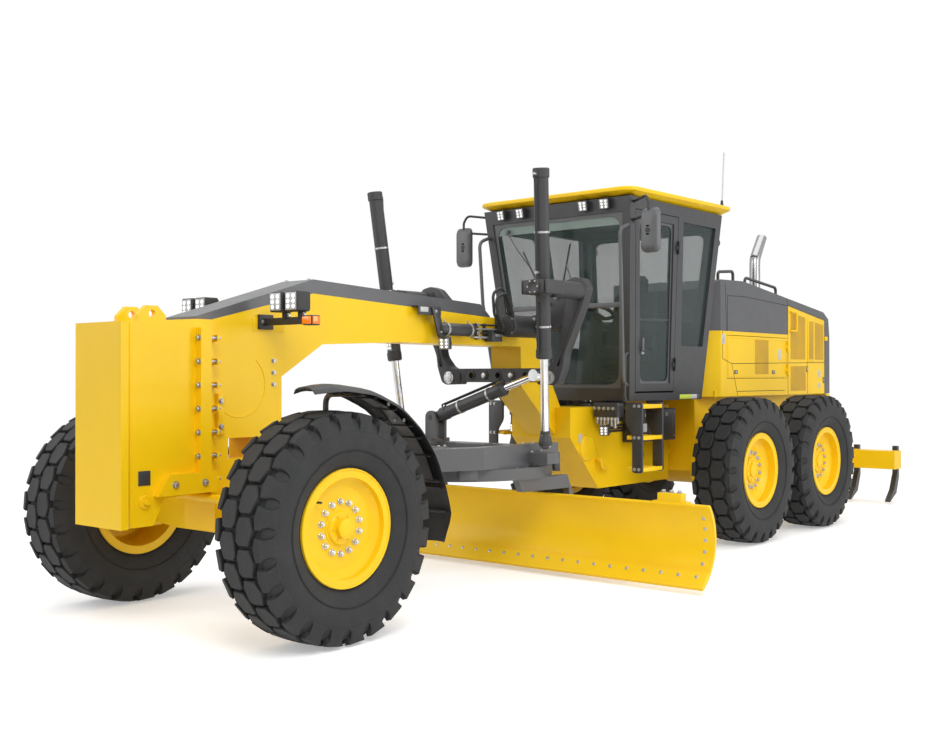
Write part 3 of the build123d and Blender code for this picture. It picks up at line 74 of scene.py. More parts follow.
# Mesh making
class Maker:
    """Collects shapes into one mesh, each with the number of its material."""

    def __init__(self):
        self.bm = bmesh.new()

    def prism(self, outline, depth, mat=0, bevel=0.0, segments=2):
        """Extrude a planar loop of points along depth, with its long edges rounded."""
        n = len(outline)
        low = [Vector(p) for p in outline]
        high = [p + depth for p in low]
        verts = [self.bm.verts.new(p) for p in low + high]
        made = [self.bm.faces.new(verts[:n]), self.bm.faces.new(verts[n:][::-1])]
        for i in range(n):
            j = (i + 1) % n
            made.append(self.bm.faces.new((verts[i], verts[i + n], verts[j + n], verts[j])))
        for face in made:
            face.material_index = mat
        bmesh.ops.recalc_face_normals(self.bm, faces=made)
        if bevel:
            edges = {e for f in made for e in f.edges}
            bmesh.ops.bevel(self.bm, geom=list(edges), offset=bevel, segments=segments,
                            affect='EDGES', profile=0.5, clamp_overlap=True, material=mat)
        return verts

    def brick(self, low, high, mat=0, bevel=0.004, segments=2, turn=None):
        """A box between two corners with rounded edges, and an optional turn about its middle."""
        low = Vector(low)
        high = Vector(high)
        mid = (low + high) / 2
        half = (high - low) / 2
        corners = []
        for sx, sy in ((-1, -1), (1, -1), (1, 1), (-1, 1)):
            corners.append(Vector((sx * half.x, sy * half.y, -half.z)))
        turn = turn or Matrix.Identity(3)
        outline = [mid + turn @ c for c in corners]
        depth = turn @ Vector((0, 0, 2 * half.z))
        return self.prism(outline, depth, mat, bevel, segments)

    def lathe(self, centre, axis, profile, segments=32, mat=0, closed=False):
        """Turn (distance along the axis, radius) rows about an axis through centre."""
        axis = Vector(axis).normalized()
        side = axis.orthogonal().normalized()
        up = axis.cross(side)
        rows = []
        for along, radius in profile:
            base = Vector(centre) + axis * along
            if radius <= 1e-6:
                rows.append([self.bm.verts.new(base)])
                continue
            row = []
            for i in range(segments):
                angle = math.tau * i / segments
                row.append(self.bm.verts.new(base + (side * math.cos(angle) + up * math.sin(angle)) * radius))
            rows.append(row)
        pairs = list(zip(rows, rows[1:]))
        if closed and len(rows[0]) > 1 and len(rows[-1]) > 1:
            pairs.append((rows[-1], rows[0]))
        for a, b in pairs:
            for i in range(segments):
                j = (i + 1) % segments
                if len(a) == 1 and len(b) == 1:
                    continue
                if len(a) == 1:
                    loop = (a[0], b[j], b[i])
                elif len(b) == 1:
                    loop = (a[i], a[j], b[0])
                else:
                    loop = (a[i], a[j], b[j], b[i])
                face = self.bm.faces.new(loop)
                face.material_index = mat
                face.smooth = True
        return rows

    def turned(self, centre, axis, rows, segments=32, mat=0):
        """Turn an open profile whose rows are in millimetres."""
        self.lathe(centre, axis, [(along * MM, radius * MM) for along, radius in rows], segments, mat)

    def rod(self, start, end, radius, mat=0, segments=20, chamfer=0.1):
        """A solid round bar with chamfered ends."""
        start = Vector(start)
        end = Vector(end)
        length = (end - start).length
        cut = min(radius * chamfer, length * 0.2)
        profile = [(0, 0), (0, radius - cut), (cut, radius), (length - cut, radius),
                   (length, radius - cut), (length, 0)]
        self.lathe(start, end - start, profile, segments, mat)

    def band(self, centre, axis, along, inner, thick, width, segments=36, mat=0):
        """A clamp band round a pipe."""
        outer = inner + thick
        self.lathe(centre, axis,
                   [(along, inner), (along, outer), (along + width, outer), (along + width, inner)],
                   segments, mat)

    def bolt(self, seat, axis, radius, mat=0, washer=True):
        """A hex bolt head on its washer."""
        seat = Vector(seat)
        axis = Vector(axis).normalized()
        base = seat
        if washer:
            wide, high = radius * 1.45, radius * 0.25
            self.lathe(seat, axis, [(-0.001, 0), (-0.001, wide), (high, wide), (high, 0)], 14, mat)
            base = seat + axis * radius * 0.24
        side = axis.orthogonal().normalized()
        up = axis.cross(side)
        low = [base + (side * math.cos(math.tau * i / 6) + up * math.sin(math.tau * i / 6)) * radius * 1.12
               for i in range(6)]
        self.prism(low, axis * radius * 1.1, mat, radius * 0.12, 1)

    def bolt_circle(self, centre, axis, side, up, reach, count, radius, mat=0, start=0.0):
        """Bolt heads without washers on a circle that side and up span."""
        for k in range(count):
            angle = math.tau * (k + start) / count
            seat = centre + (side * math.cos(angle) + up * math.sin(angle)) * reach
            self.bolt(seat, axis, radius, mat, washer=False)

    def tube(self, points, radius, mat=0, segments=10, bend=None, caps=True):
        """A bent tube through points, its corners rounded by bend."""
        route = rounded(points, bend if bend is not None else radius * 3)
        rings = []
        normal = None
        for i, point in enumerate(route):
            if i == 0:
                tangent = route[1] - route[0]
            elif i == len(route) - 1:
                tangent = route[-1] - route[-2]
            else:
                tangent = (route[i + 1] - point).normalized() + (point - route[i - 1]).normalized()
            tangent.normalize()
            if normal is None:
                normal = tangent.orthogonal().normalized()
            else:
                normal = (normal - tangent * normal.dot(tangent)).normalized()
            other = tangent.cross(normal)
            rings.append([self.bm.verts.new(point + (normal * math.cos(math.tau * k / segments)
                                                     + other * math.sin(math.tau * k / segments)) * radius)
                          for k in range(segments)])
        self.join(rings, mat)
        if caps:
            for ring in (rings[0][::-1], rings[-1]):
                face = self.bm.faces.new(ring)
                face.material_index = mat
        return rings

    def join(self, loops, mat=0):
        """Faces between loops of equal length."""
        for a, b in zip(loops, loops[1:]):
            for k in range(len(a)):
                j = (k + 1) % len(a)
                self.bm.faces.new((a[k], a[j], b[j], b[k])).material_index = mat

    def mirror(self):
        """Add the other side's copy of everything made so far."""
        made = bmesh.ops.duplicate(self.bm, geom=[*self.bm.verts, *self.bm.edges, *self.bm.faces])
        verts = [g for g in made["geom"] if isinstance(g, bmesh.types.BMVert)]
        faces = [g for g in made["geom"] if isinstance(g, bmesh.types.BMFace)]
        for v in verts:
            v.co.x = -v.co.x
        bmesh.ops.reverse_faces(self.bm, faces=faces)

    def piece(self, name, body, materials, smooth=35):
        """Turn what was made into a piece that rides on a body."""
        mesh = bpy.data.meshes.new(name)
        bmesh.ops.recalc_face_normals(self.bm, faces=self.bm.faces)
        self.bm.to_mesh(mesh)
        self.bm.free()
        for material in materials:
            mesh.materials.append(finish(material))
        mesh.shade_smooth()
        mesh.set_sharp_from_angle(angle=math.radians(smooth))
        obj = bpy.data.objects.new(name, mesh)
        bpy.context.scene.collection.objects.link(obj)
        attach(obj, body)
        return obj


def corner_arc(first, corner, last, steps):
    """Points along the curve from first to last that rounds the corner between them."""
    arc = []
    for k in range(steps + 1):
        t = k / steps
        arc.append(first * (1 - t) ** 2 + corner * 2 * t * (1 - t) + last * t ** 2)
    return arc


def rounded(points, bend):
    """A route's points with each corner turned into an arc."""
    points = [Vector(p) for p in points]
    route = [points[0]]
    for before, corner, after in zip(points, points[1:], points[2:]):
        into = corner - before
        out = after - corner
        turn = into.angle(out, 0.0)
        if turn < 0.02 or bend <= 0:
            route.append(corner)
            continue
        reach = min(bend * math.tan(turn / 2), into.length * 0.45, out.length * 0.45)
        first = corner - into.normalized() * reach
        last = corner + out.normalized() * reach
        route += corner_arc(first, corner, last, max(2, int(turn / 0.26)))
    route.append(points[-1])
    return route


def rounded_loop(points, radius, steps=6):
    """A closed loop's points with each corner turned into an arc."""
    out = []
    for i, p in enumerate(points):
        a = (points[i - 1] - p).normalized()
        b = (points[(i + 1) % len(points)] - p).normalized()
        out += corner_arc(p + a * radius, p, p + b * radius, steps)
    return out


def arc_points(centre, radius, start, end, steps):
    """(a, b) points on an arc, in degrees."""
    out = []
    for k in range(steps + 1):
        angle = math.radians(start + (end - start) * k / steps)
        out.append((centre[0] + radius * math.cos(angle), centre[1] + radius * math.sin(angle)))
    return out


# Finishes
def new_group(name, inputs, outputs):
    """A shader node group with named sockets, made once."""
    group = bpy.data.node_groups.new(name, "ShaderNodeTree")
    for label, kind, value in inputs:
        socket = group.interface.new_socket(name=label, in_out='INPUT', socket_type=kind)
        socket.default_value = value
    for label, kind in outputs:
        group.interface.new_socket(name=label, in_out='OUTPUT', socket_type=kind)
    enter = group.nodes.new("NodeGroupInput")
    leave = group.nodes.new("NodeGroupOutput")
    return group, enter, leave


def span(tree, source, low, high, out_low, out_high):
    """Map a value from one range to another, clamped."""
    node = tree.nodes.new("ShaderNodeMapRange")
    tree.links.new(source, node.inputs["Value"])
    for name, value in (("From Min", low), ("From Max", high), ("To Min", out_low), ("To Max", out_high)):
        node.inputs[name].default_value = value
    return node.outputs["Result"]


def blend_colours(tree, mask, a, b):
    node = tree.nodes.new("ShaderNodeMix")
    node.data_type = 'RGBA'
    node.blend_type = 'MIX'
    for socket, source in ((node.inputs["Factor"], mask), (node.inputs[6], a), (node.inputs[7], b)):
        if isinstance(source, bpy.types.NodeSocket):
            tree.links.new(source, socket)
        else:
            socket.default_value = source
    return node.outputs[2]


def combine(tree, a, b, operation):
    node = tree.nodes.new("ShaderNodeMath")
    node.operation = operation
    for socket, source in zip(node.inputs, (a, b)):
        if isinstance(source, bpy.types.NodeSocket):
            tree.links.new(source, socket)
        else:
            socket.default_value = source
    return node.outputs[0]


def noise(tree, scale, detail=4.0, stretch=None):
    """Noise at a scale given per metre of the piece."""
    coords = tree.nodes.new("ShaderNodeTexCoord")
    made = tree.nodes.new("ShaderNodeTexNoise")
    made.inputs["Scale"].default_value = scale
    made.inputs["Detail"].default_value = detail
    if stretch:
        mapping = tree.nodes.new("ShaderNodeMapping")
        mapping.inputs["Scale"].default_value = stretch
        tree.links.new(coords.outputs["Object"], mapping.inputs["Vector"])
        tree.links.new(mapping.outputs["Vector"], made.inputs["Vector"])
    else:
        tree.links.new(coords.outputs["Object"], made.inputs["Vector"])
    return made.outputs[0]


SURFACE_OUTPUTS = [("Colour", "NodeSocketColor"), ("Roughness", "NodeSocketFloat"),
                   ("Height", "NodeSocketFloat")]


def coat_group():
    """Sprayed machine paint: slow tone drift, orange peel and a trace of dust on what faces up."""
    group, enter, leave = new_group(
        "sprayed_coat",
        [("Colour", "NodeSocketColor", (0.8, 0.5, 0.0, 1.0)), ("Gloss", "NodeSocketFloat", 0.4),
         ("Dust", "NodeSocketFloat", 0.15), ("Peel", "NodeSocketFloat", 0.06)],
        SURFACE_OUTPUTS)
    drift = noise(group, 1.6, 3.0)
    fine = noise(group, 420.0, 2.0)
    cloud = noise(group, 9.0, 6.0)
    tone = span(group, drift, 0.3, 0.7, 0.95, 1.04)
    toned = group.nodes.new("ShaderNodeHueSaturation")
    group.links.new(enter.outputs["Colour"], toned.inputs["Color"])
    group.links.new(tone, toned.inputs["Value"])
    geometry = group.nodes.new("ShaderNodeNewGeometry")
    split = group.nodes.new("ShaderNodeSeparateXYZ")
    group.links.new(geometry.outputs["Normal"], split.inputs[0])
    upward = span(group, split.outputs["Z"], 0.5, 1.0, 0.0, 1.0)
    patch = span(group, cloud, 0.45, 0.75, 0.0, 1.0)
    dust = combine(group, combine(group, upward, patch, 'MULTIPLY'), enter.outputs["Dust"], 'MULTIPLY')
    colour = blend_colours(group, dust, toned.outputs[0], (0.42, 0.38, 0.31, 1.0))
    group.links.new(colour, leave.inputs["Colour"])
    rough = combine(group, enter.outputs["Gloss"], span(group, cloud, 0.3, 0.7, -0.04, 0.05), 'ADD')
    group.links.new(combine(group, rough, combine(group, dust, 0.5, 'MULTIPLY'), 'ADD'),
                    leave.inputs["Roughness"])
    group.links.new(combine(group, fine, enter.outputs["Peel"], 'MULTIPLY'), leave.inputs["Height"])
    return group


def rubber_group():
    """Moulded rubber: a grey bloom and fine pits."""
    group, enter, leave = new_group(
        "moulded_rubber",
        [("Colour", "NodeSocketColor", (0.03, 0.03, 0.03, 1.0)), ("Bloom", "NodeSocketFloat", 0.22)],
        SURFACE_OUTPUTS)
    cloud = noise(group, 7.0, 5.0)
    fine = noise(group, 260.0, 3.0)
    mask = combine(group, span(group, cloud, 0.4, 0.75, 0.0, 1.0), enter.outputs["Bloom"], 'MULTIPLY')
    colour = blend_colours(group, mask, enter.outputs["Colour"], (0.045, 0.045, 0.047, 1.0))
    group.links.new(colour, leave.inputs["Colour"])
    group.links.new(span(group, fine, 0.3, 0.7, 0.62, 0.85), leave.inputs["Roughness"])
    group.links.new(fine, leave.inputs["Height"])
    return group


def grain_group():
    """Textured plastic or cast metal: a colour with an even stipple."""
    group, enter, leave = new_group(
        "stippled_skin",
        [("Colour", "NodeSocketColor", (0.03, 0.03, 0.03, 1.0)), ("Size", "NodeSocketFloat", 500.0),
         ("Shine", "NodeSocketFloat", 0.5)],
        SURFACE_OUTPUTS)
    coords = group.nodes.new("ShaderNodeTexCoord")
    stipple = group.nodes.new("ShaderNodeTexVoronoi")
    group.links.new(coords.outputs["Object"], stipple.inputs["Vector"])
    group.links.new(enter.outputs["Size"], stipple.inputs["Scale"])
    cloud = noise(group, 5.0, 4.0)
    tone = span(group, cloud, 0.3, 0.7, 0.88, 1.1)
    toned = group.nodes.new("ShaderNodeHueSaturation")
    group.links.new(enter.outputs["Colour"], toned.inputs["Color"])
    group.links.new(tone, toned.inputs["Value"])
    group.links.new(toned.outputs[0], leave.inputs["Colour"])
    group.links.new(combine(group, enter.outputs["Shine"], span(group, cloud, 0.3, 0.7, -0.06, 0.08), 'ADD'),
                    leave.inputs["Roughness"])
    group.links.new(stipple.outputs["Distance"], leave.inputs["Height"])
    return group


def brushed_group():
    """Turned, ground or plated metal: fine streaks and light smears."""
    group, enter, leave = new_group(
        "worked_metal",
        [("Colour", "NodeSocketColor", (0.6, 0.6, 0.6, 1.0)), ("Polish", "NodeSocketFloat", 0.2)],
        SURFACE_OUTPUTS)
    streak = noise(group, 30.0, 3.0, (1.0, 1.0, 12.0))
    cloud = noise(group, 6.0, 5.0)
    colour = blend_colours(group, span(group, cloud, 0.35, 0.7, 0.0, 0.35), enter.outputs["Colour"],
                           (0.30, 0.29, 0.27, 1.0))
    group.links.new(colour, leave.inputs["Colour"])
    group.links.new(combine(group, enter.outputs["Polish"], span(group, streak, 0.3, 0.7, -0.05, 0.12), 'ADD'),
                    leave.inputs["Roughness"])
    group.links.new(streak, leave.inputs["Height"])
    return group


def cloth_group():
    """Seat cloth: crossing threads with a little colour spread."""
    group, enter, leave = new_group(
        "seat_weave",
        [("Colour", "NodeSocketColor", (0.05, 0.05, 0.06, 1.0)), ("Threads", "NodeSocketFloat", 420.0)],
        SURFACE_OUTPUTS)
    coords = group.nodes.new("ShaderNodeTexCoord")
    waves = []
    for direction in ('X', 'Z'):
        wave = group.nodes.new("ShaderNodeTexWave")
        wave.bands_direction = direction
        group.links.new(coords.outputs["Object"], wave.inputs["Vector"])
        group.links.new(enter.outputs["Threads"], wave.inputs["Scale"])
        waves.append(wave.outputs[1])
    weave = combine(group, waves[0], waves[1], 'MULTIPLY')
    colour = blend_colours(group, weave, enter.outputs["Colour"], (0.16, 0.16, 0.17, 1.0))
    group.links.new(colour, leave.inputs["Colour"])
    group.links.new(span(group, weave, 0.0, 1.0, 0.95, 0.75), leave.inputs["Roughness"])
    group.links.new(weave, leave.inputs["Height"])
    return group


def pane_group():
    """Glass that has been wiped: faint streaks in its gloss and in how much it hides."""
    group, enter, leave = new_group(
        "wiped_pane",
        [("Smoothness", "NodeSocketFloat", 0.02), ("Cover", "NodeSocketFloat", 0.3)],
        [("Roughness", "NodeSocketFloat"), ("Alpha", "NodeSocketFloat")])
    smear = noise(group, 3.0, 5.0, (1.0, 1.0, 0.4))
    for name, added, target in (("Smoothness", 0.05, "Roughness"), ("Cover", 0.05, "Alpha")):
        group.links.new(combine(group, enter.outputs[name], span(group, smear, 0.35, 0.7, 0.0, added), 'ADD'),
                        leave.inputs[target])
    return group


def ribs_group():
    """Fine moulded ribs of a lamp lens, with painted shade darkening their valleys."""
    group, enter, leave = new_group(
        "lens_ribs",
        [("Colour", "NodeSocketColor", (0.5, 0.5, 0.5, 1.0)), ("Ribs", "NodeSocketFloat", 60.0)],
        SURFACE_OUTPUTS)
    coords = group.nodes.new("ShaderNodeTexCoord")
    wave = group.nodes.new("ShaderNodeTexWave")
    group.links.new(coords.outputs["Object"], wave.inputs["Vector"])
    group.links.new(enter.outputs["Ribs"], wave.inputs["Scale"])
    toned = group.nodes.new("ShaderNodeHueSaturation")
    group.links.new(enter.outputs["Colour"], toned.inputs["Color"])
    # Painted shade: the lens colour darkens to three quarters in the ribs' valleys.
    group.links.new(span(group, wave.outputs[1], 0.0, 1.0, 0.75, 1.0), toned.inputs["Value"])
    group.links.new(toned.outputs[0], leave.inputs["Colour"])
    group.links.new(span(group, wave.outputs[1], 0.0, 1.0, 0.08, 0.2), leave.inputs["Roughness"])
    group.links.new(wave.outputs[1], leave.inputs["Height"])
    return group


GROUPS = {}
GROUP_MAKERS = {"coat": coat_group, "rubber": rubber_group, "grain": grain_group, "brushed": brushed_group,
                "cloth": cloth_group, "pane": pane_group, "ribs": ribs_group}


def effect_node(tree, group_kind, colour=None, values=()):
    """The effect group placed in one material, with that material's own values."""
    if group_kind not in GROUPS:
        GROUPS[group_kind] = GROUP_MAKERS[group_kind]()
    effect = tree.nodes.new("ShaderNodeGroup")
    effect.node_tree = GROUPS[group_kind]
    if colour:
        effect.inputs["Colour"].default_value = (*colour, 1.0)
    for key, value in values:
        effect.inputs[key].default_value = value
    return effect


def skin(name, colour, group_kind, values=(), metallic=0.0, bump=0.1, depth=0.001, coat=0.0, shine=0.5):
    """A material of one effect group and one shader."""
    material = bpy.data.materials.new(name)
    material.use_nodes = True
    tree = material.node_tree
    shader = tree.nodes["Principled BSDF"]
    effect = effect_node(tree, group_kind, colour, values)
    tree.links.new(effect.outputs["Colour"], shader.inputs["Base Color"])
    tree.links.new(effect.outputs["Roughness"], shader.inputs["Roughness"])
    raised = tree.nodes.new("ShaderNodeBump")
    raised.inputs["Strength"].default_value = bump
    raised.inputs["Distance"].default_value = depth
    tree.links.new(effect.outputs["Height"], raised.inputs["Height"])
    tree.links.new(raised.outputs["Normal"], shader.inputs["Normal"])
    shader.inputs["Metallic"].default_value = metallic
    shader.inputs["Specular IOR Level"].default_value = shine
    shader.inputs["Coat Weight"].default_value = coat
    shader.inputs["Coat Roughness"].default_value = 0.12
    return material


def clear_glass(name, tint, alpha):
    """Tinted glass: a thin pane that darkens what lies behind, with faint streaks in its gloss."""
    material = bpy.data.materials.new(name)
    material.use_nodes = True
    tree = material.node_tree
    shader = tree.nodes["Principled BSDF"]
    shader.inputs["Base Color"].default_value = (*tint, 1.0)
    shader.inputs["Metallic"].default_value = 0.0
    shader.inputs["Transmission Weight"].default_value = 0.0
    effect = effect_node(tree, "pane", values=(("Smoothness", 0.02), ("Cover", alpha)))
    tree.links.new(effect.outputs["Roughness"], shader.inputs["Roughness"])
    tree.links.new(effect.outputs["Alpha"], shader.inputs["Alpha"])
    return material


def lens_glass(name, tint, glow=0.0):
    """Moulded lamp lens: ribbed clear plastic over a bright reflector."""
    material = skin(name, tint, "ribs", metallic=0.25, bump=0.3, coat=0.6)
    if glow:
        shader = material.node_tree.nodes["Principled BSDF"]
        shader.inputs["Emission Color"].default_value = (*tint, 1.0)
        shader.inputs["Emission Strength"].default_value = glow
    return material


def colour_of(name):
    return tuple(getattr(bpy.context.scene.grader_finishes, name))


# Each finish: how it is made, its colour or the property that holds it, and its other values.
FINISHES = {
    "yellow": (skin, ("body_yellow", "coat", (("Gloss", 0.4), ("Dust", 0.03))), {"coat": 0.08, "shine": 0.3}),
    "charcoal": (skin, ("dark_grey", "coat", (("Gloss", 0.42), ("Dust", 0.12))), {"coat": 0.1}),
    "black": (skin, ("black", "coat", (("Gloss", 0.45), ("Dust", 0.12))), {"coat": 0.1}),
    # hollow: near-black; the dark of the hood's panel seams, and painted shade on the sheet behind the rear
    # grille and inside the exhaust stack.
    "hollow": (skin, ((0.006, 0.006, 0.006), "coat", (("Gloss", 0.8), ("Dust", 0.0))), {}),
    "blank": (skin, ((0.55, 0.56, 0.55), "coat", (("Gloss", 0.35), ("Dust", 0.0))), {}),
    "label": (skin, ((0.55, 0.66, 0.06), "coat", (("Gloss", 0.35), ("Dust", 0.0))), {}),
    "rubber": (skin, ("tyre", "rubber"), {"bump": 0.25}),
    "cloth": (skin, ((0.035, 0.036, 0.04), "cloth"), {"bump": 0.4}),
    "hose": (skin, ((0.012, 0.012, 0.013), "grain", (("Size", 700.0), ("Shine", 0.55))), {"bump": 0.2}),
    "plastic": (skin, ((0.022, 0.022, 0.024), "grain", (("Size", 900.0), ("Shine", 0.5))), {"bump": 0.15}),
    "cast": (skin, ((0.045, 0.045, 0.048), "grain", (("Size", 240.0), ("Shine", 0.5))),
             {"metallic": 0.3, "bump": 0.25}),
    # A darker orange with a stipple bump for perforated panels; the darker tone is painted shade seen through
    # the holes.
    "screen": (skin, ((0.60, 0.34, 0.004), "grain", (("Size", 150.0), ("Shine", 0.55))),
               {"bump": 0.7, "depth": 0.003}),
    "chrome": (skin, ((0.78, 0.78, 0.79), "brushed", (("Polish", 0.1),)), {"metallic": 1.0, "bump": 0.03}),
    "steel": (skin, ((0.55, 0.55, 0.55), "brushed", (("Polish", 0.32),)), {"metallic": 0.9, "bump": 0.08}),
    "zinc": (skin, ((0.46, 0.46, 0.45), "brushed", (("Polish", 0.36),)), {"metallic": 0.8, "bump": 0.05}),
    "nut": (skin, ((0.62, 0.62, 0.61), "brushed", (("Polish", 0.22),)), {"metallic": 0.85, "bump": 0.04}),
    "stack": (skin, ((0.34, 0.34, 0.35), "brushed", (("Polish", 0.16),)), {"metallic": 0.9, "bump": 0.02}),
    "mirror": (skin, ((0.75, 0.78, 0.8), "brushed", (("Polish", 0.04),)), {"metallic": 1.0, "bump": 0.0}),
    "glass": (clear_glass, ((0.055, 0.085, 0.08),), {"alpha": 0.30}),
    "sunband": (clear_glass, ((0.30, 0.38, 0.35),), {"alpha": 0.66}),
    "lens": (lens_glass, ((0.42, 0.43, 0.44),), {}),
    "amber": (lens_glass, ((0.95, 0.22, 0.01),), {"glow": 0.25}),
    "red": (lens_glass, ((0.55, 0.01, 0.008),), {}),
    "led": (lens_glass, ((0.95, 0.96, 0.93),), {"glow": 0.8}),
}


def finish(name):
    """The named finish, made on its first use."""
    made = bpy.data.materials.get("grader_" + name)
    if made:
        return made
    if name == "two_tone":
        return two_tone("grader_two_tone")
    make, values, options = FINISHES[name]
    colour, *others = values
    if isinstance(colour, str):
        colour = colour_of(colour)
    return make("grader_" + name, colour, *others, **options)


def paint_node(node, finish_name, bevel=0.0):
    """Give a frame node its finish, and soften its edges without touching its mesh."""
    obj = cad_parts[node]
    material = finish(finish_name)
    if not obj.material_slots:
        obj.data.materials.append(material)
    for slot in obj.material_slots:
        slot.material = material
    if bevel:
        flat = obj.modifiers.new("flatten", 'DECIMATE')
        flat.decimate_type = 'DISSOLVE'
        flat.angle_limit = math.radians(1.0)
        soft = obj.modifiers.new("edges", 'BEVEL')
        soft.width = bevel
        soft.segments = 2
        soft.limit_method = 'ANGLE'
        soft.angle_limit = math.radians(40)
        soft.use_clamp_overlap = True
        soft.harden_normals = False


NODE_FINISHES = {
    "front_frame": "yellow", "frame_cover": "charcoal", "push_block": "yellow", "front_axle": "yellow",
    "saddle": "cast", "cab_frame": "black", "cab_glass": "glass", "cab_roof": "yellow", "seat": "cloth",
    "console": "plastic", "ladders": "black", "valve_boxes": "black", "mirrors": "plastic", "lamps": "plastic",
    "tie_rod": "steel", "drawbar_ball": "steel", "drawbar": "charcoal", "circle": "charcoal",
    "blade_carrier": "charcoal", "moldboard": "yellow", "cutting_edge": "yellow", "shift_barrel": "black",
    "shift_rod": "chrome", "rear_frame": "yellow", "tandem_housings": "yellow", "hood": "two_tone",
    "hood_top": "two_tone", "engine": "cast", "exhaust": "chrome", "hood_rails": "black",
    "ripper_frame": "yellow", "ripper_shanks": "black", "ripper_barrels": "yellow", "ripper_rods": "chrome",
}
SIDE_FINISHES = {
    "knuckle": "yellow", "fender": "plastic", "front_rim": "yellow", "mid_rim": "yellow", "rear_rim": "yellow",
    "front_tyre": "rubber", "mid_tyre": "rubber", "rear_tyre": "rubber", "cab_door": "black",
    "door_pane": "glass", "service_door": "yellow", "lift_barrel": "cast", "lift_rod": "chrome",
}
SOFT_EDGES = {
    "front_frame": 0.006, "frame_cover": 0.006, "push_block": 0.006, "saddle": 0.01, "cab_roof": 0.02,
    "hood": 0.006, "hood_top": 0.012, "moldboard": 0.003, "drawbar": 0.005, "circle": 0.003,
    "ripper_frame": 0.006, "cab_frame": 0.006,
}
SIDES = (("left", 1), ("right", -1))
WHEELS = [(f"{row}_tyre_{side}", f"{row}_wheel_{side}", sign)
          for row in ("front", "mid", "rear") for side, sign in SIDES]


# Tyres
PITCHES = 24
# The outer skin runs over the lugs, the inner one under them: (x, radius) in millimetres.
OUTER_SKIN = [(0, 705), (80, 703), (150, 699), (195, 693), (202.5, 660), (214, 615), (219, 590)]
INNER_SKIN = [(0, 672), (80, 670), (150, 664), (176, 654), (190, 634), (206, 606), (217, 588)]
SIDE_SKIN = [(217, 590), (221, 560), (222.4, 520), (219, 480), (209, 445), (200, 428), (198, 424), (190, 405),
             (178, 385), (166, 374), (159, 368), (159, 320)]


def skin_point(skin_rows, t):
    """A point on a skin at t, counted in rows."""
    i = min(int(t), len(skin_rows) - 2)
    share = t - i
    (x0, r0), (x1, r1) = skin_rows[i], skin_rows[i + 1]
    return x0 + (x1 - x0) * share, r0 + (r1 - r0) * share


def lug(maker, rows, sign, turn, pitch):
    """A rubber block from (t, left edge, right edge) rows, edges in shares of a pitch."""
    def vert(skin_rows, t, share, drop=0.0):
        x, r = skin_point(skin_rows, t)
        angle = (turn + share) * pitch
        r -= drop
        return Vector((sign * x * MM, -math.sin(angle) * r * MM, math.cos(angle) * r * MM))
    inset = 0.028
    top, edge, base = [], [], []
    last = len(rows) - 1
    for i, (t, a, b) in enumerate(rows):
        t_in = t + (0.07 if i == 0 else -0.07 if i == last else 0.0)
        top.append((vert(OUTER_SKIN, t_in, a + inset), vert(OUTER_SKIN, t_in, b - inset)))
        edge.append((vert(OUTER_SKIN, t, a, 5), vert(OUTER_SKIN, t, b, 5)))
        spread = 0.012
        base.append((vert(INNER_SKIN, t, a - spread, 4), vert(INNER_SKIN, t, b + spread, 4)))
    rings = []
    for layer in (top, edge, base):
        loop = [p[0] for p in layer] + [p[1] for p in reversed(layer)]
        rings.append([maker.bm.verts.new(p) for p in loop])
    maker.join(rings)
    crown = rings[0]
    n = len(crown)
    for k in range(last):
        maker.bm.faces.new((crown[k], crown[k + 1], crown[n - 2 - k], crown[n - 1 - k]))


def tyre_mesh():
    """One tyre about the X axis: carcass, two columns of middle blocks and a row of lugs each side."""
    maker = Maker()
    half = [(x, r) for x, r in INNER_SKIN] + SIDE_SKIN[1:]
    profile = [(-x * MM, r * MM) for x, r in reversed(half)] + [(x * MM, r * MM) for x, r in half[1:]]
    maker.lathe((0, 0, 0), (1, 0, 0), profile, 96, 0, closed=True)
    for ring_r in (556, 548, 470, 464):
        x = 222.6 - abs(ring_r - 520) * 0.055
        rows = [((x - 3) * MM, (ring_r - 2.5) * MM), ((x + 0.6) * MM, (ring_r - 1) * MM),
                ((x + 0.6) * MM, (ring_r + 1) * MM), ((x - 3) * MM, (ring_r + 2.5) * MM)]
        for side in (1, -1):
            maker.lathe((0, 0, 0), (side, 0, 0), rows, 96)
    pitch = math.tau / PITCHES
    shoulder = [(1.98, -0.02, 0.14), (2.3, -0.33, 0.42), (3.1, -0.30, 0.40), (3.6, -0.26, 0.33),
                (4.5, -0.28, 0.31), (5.4, -0.34, 0.36), (5.95, -0.45, 0.45)]
    middle = [(0.08, -0.18, 0.30), (0.35, -0.43, 0.44), (1.45, -0.44, 0.43), (1.9, -0.12, 0.0)]
    for i in range(PITCHES):
        for sign, offset in ((1, 0.0), (-1, 0.5)):
            lug(maker, shoulder, sign, i + offset + 0.25, pitch)
            lug(maker, middle, sign, i + offset + 0.75, pitch)
    bm = maker.bm
    bmesh.ops.recalc_face_normals(bm, faces=bm.faces)
    mesh = bpy.data.meshes.new("grader_tyre")
    bm.to_mesh(mesh)
    bm.free()
    mesh.materials.append(finish("rubber"))
    mesh.shade_smooth()
    mesh.set_sharp_from_angle(angle=math.radians(24))
    return mesh


def make_tyres():
    mesh = tyre_mesh()
    for node, body, sign in WHEELS:
        obj = bpy.data.objects.new(f"tread_{node}", mesh.copy())
        centre = node_centre(node)
        obj.data.transform(Matrix.Translation(centre) @ Matrix.Rotation(0 if sign > 0 else math.pi, 4, 'Z'))
        bpy.context.scene.collection.objects.link(obj)
        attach(obj, body)
        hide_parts(node)


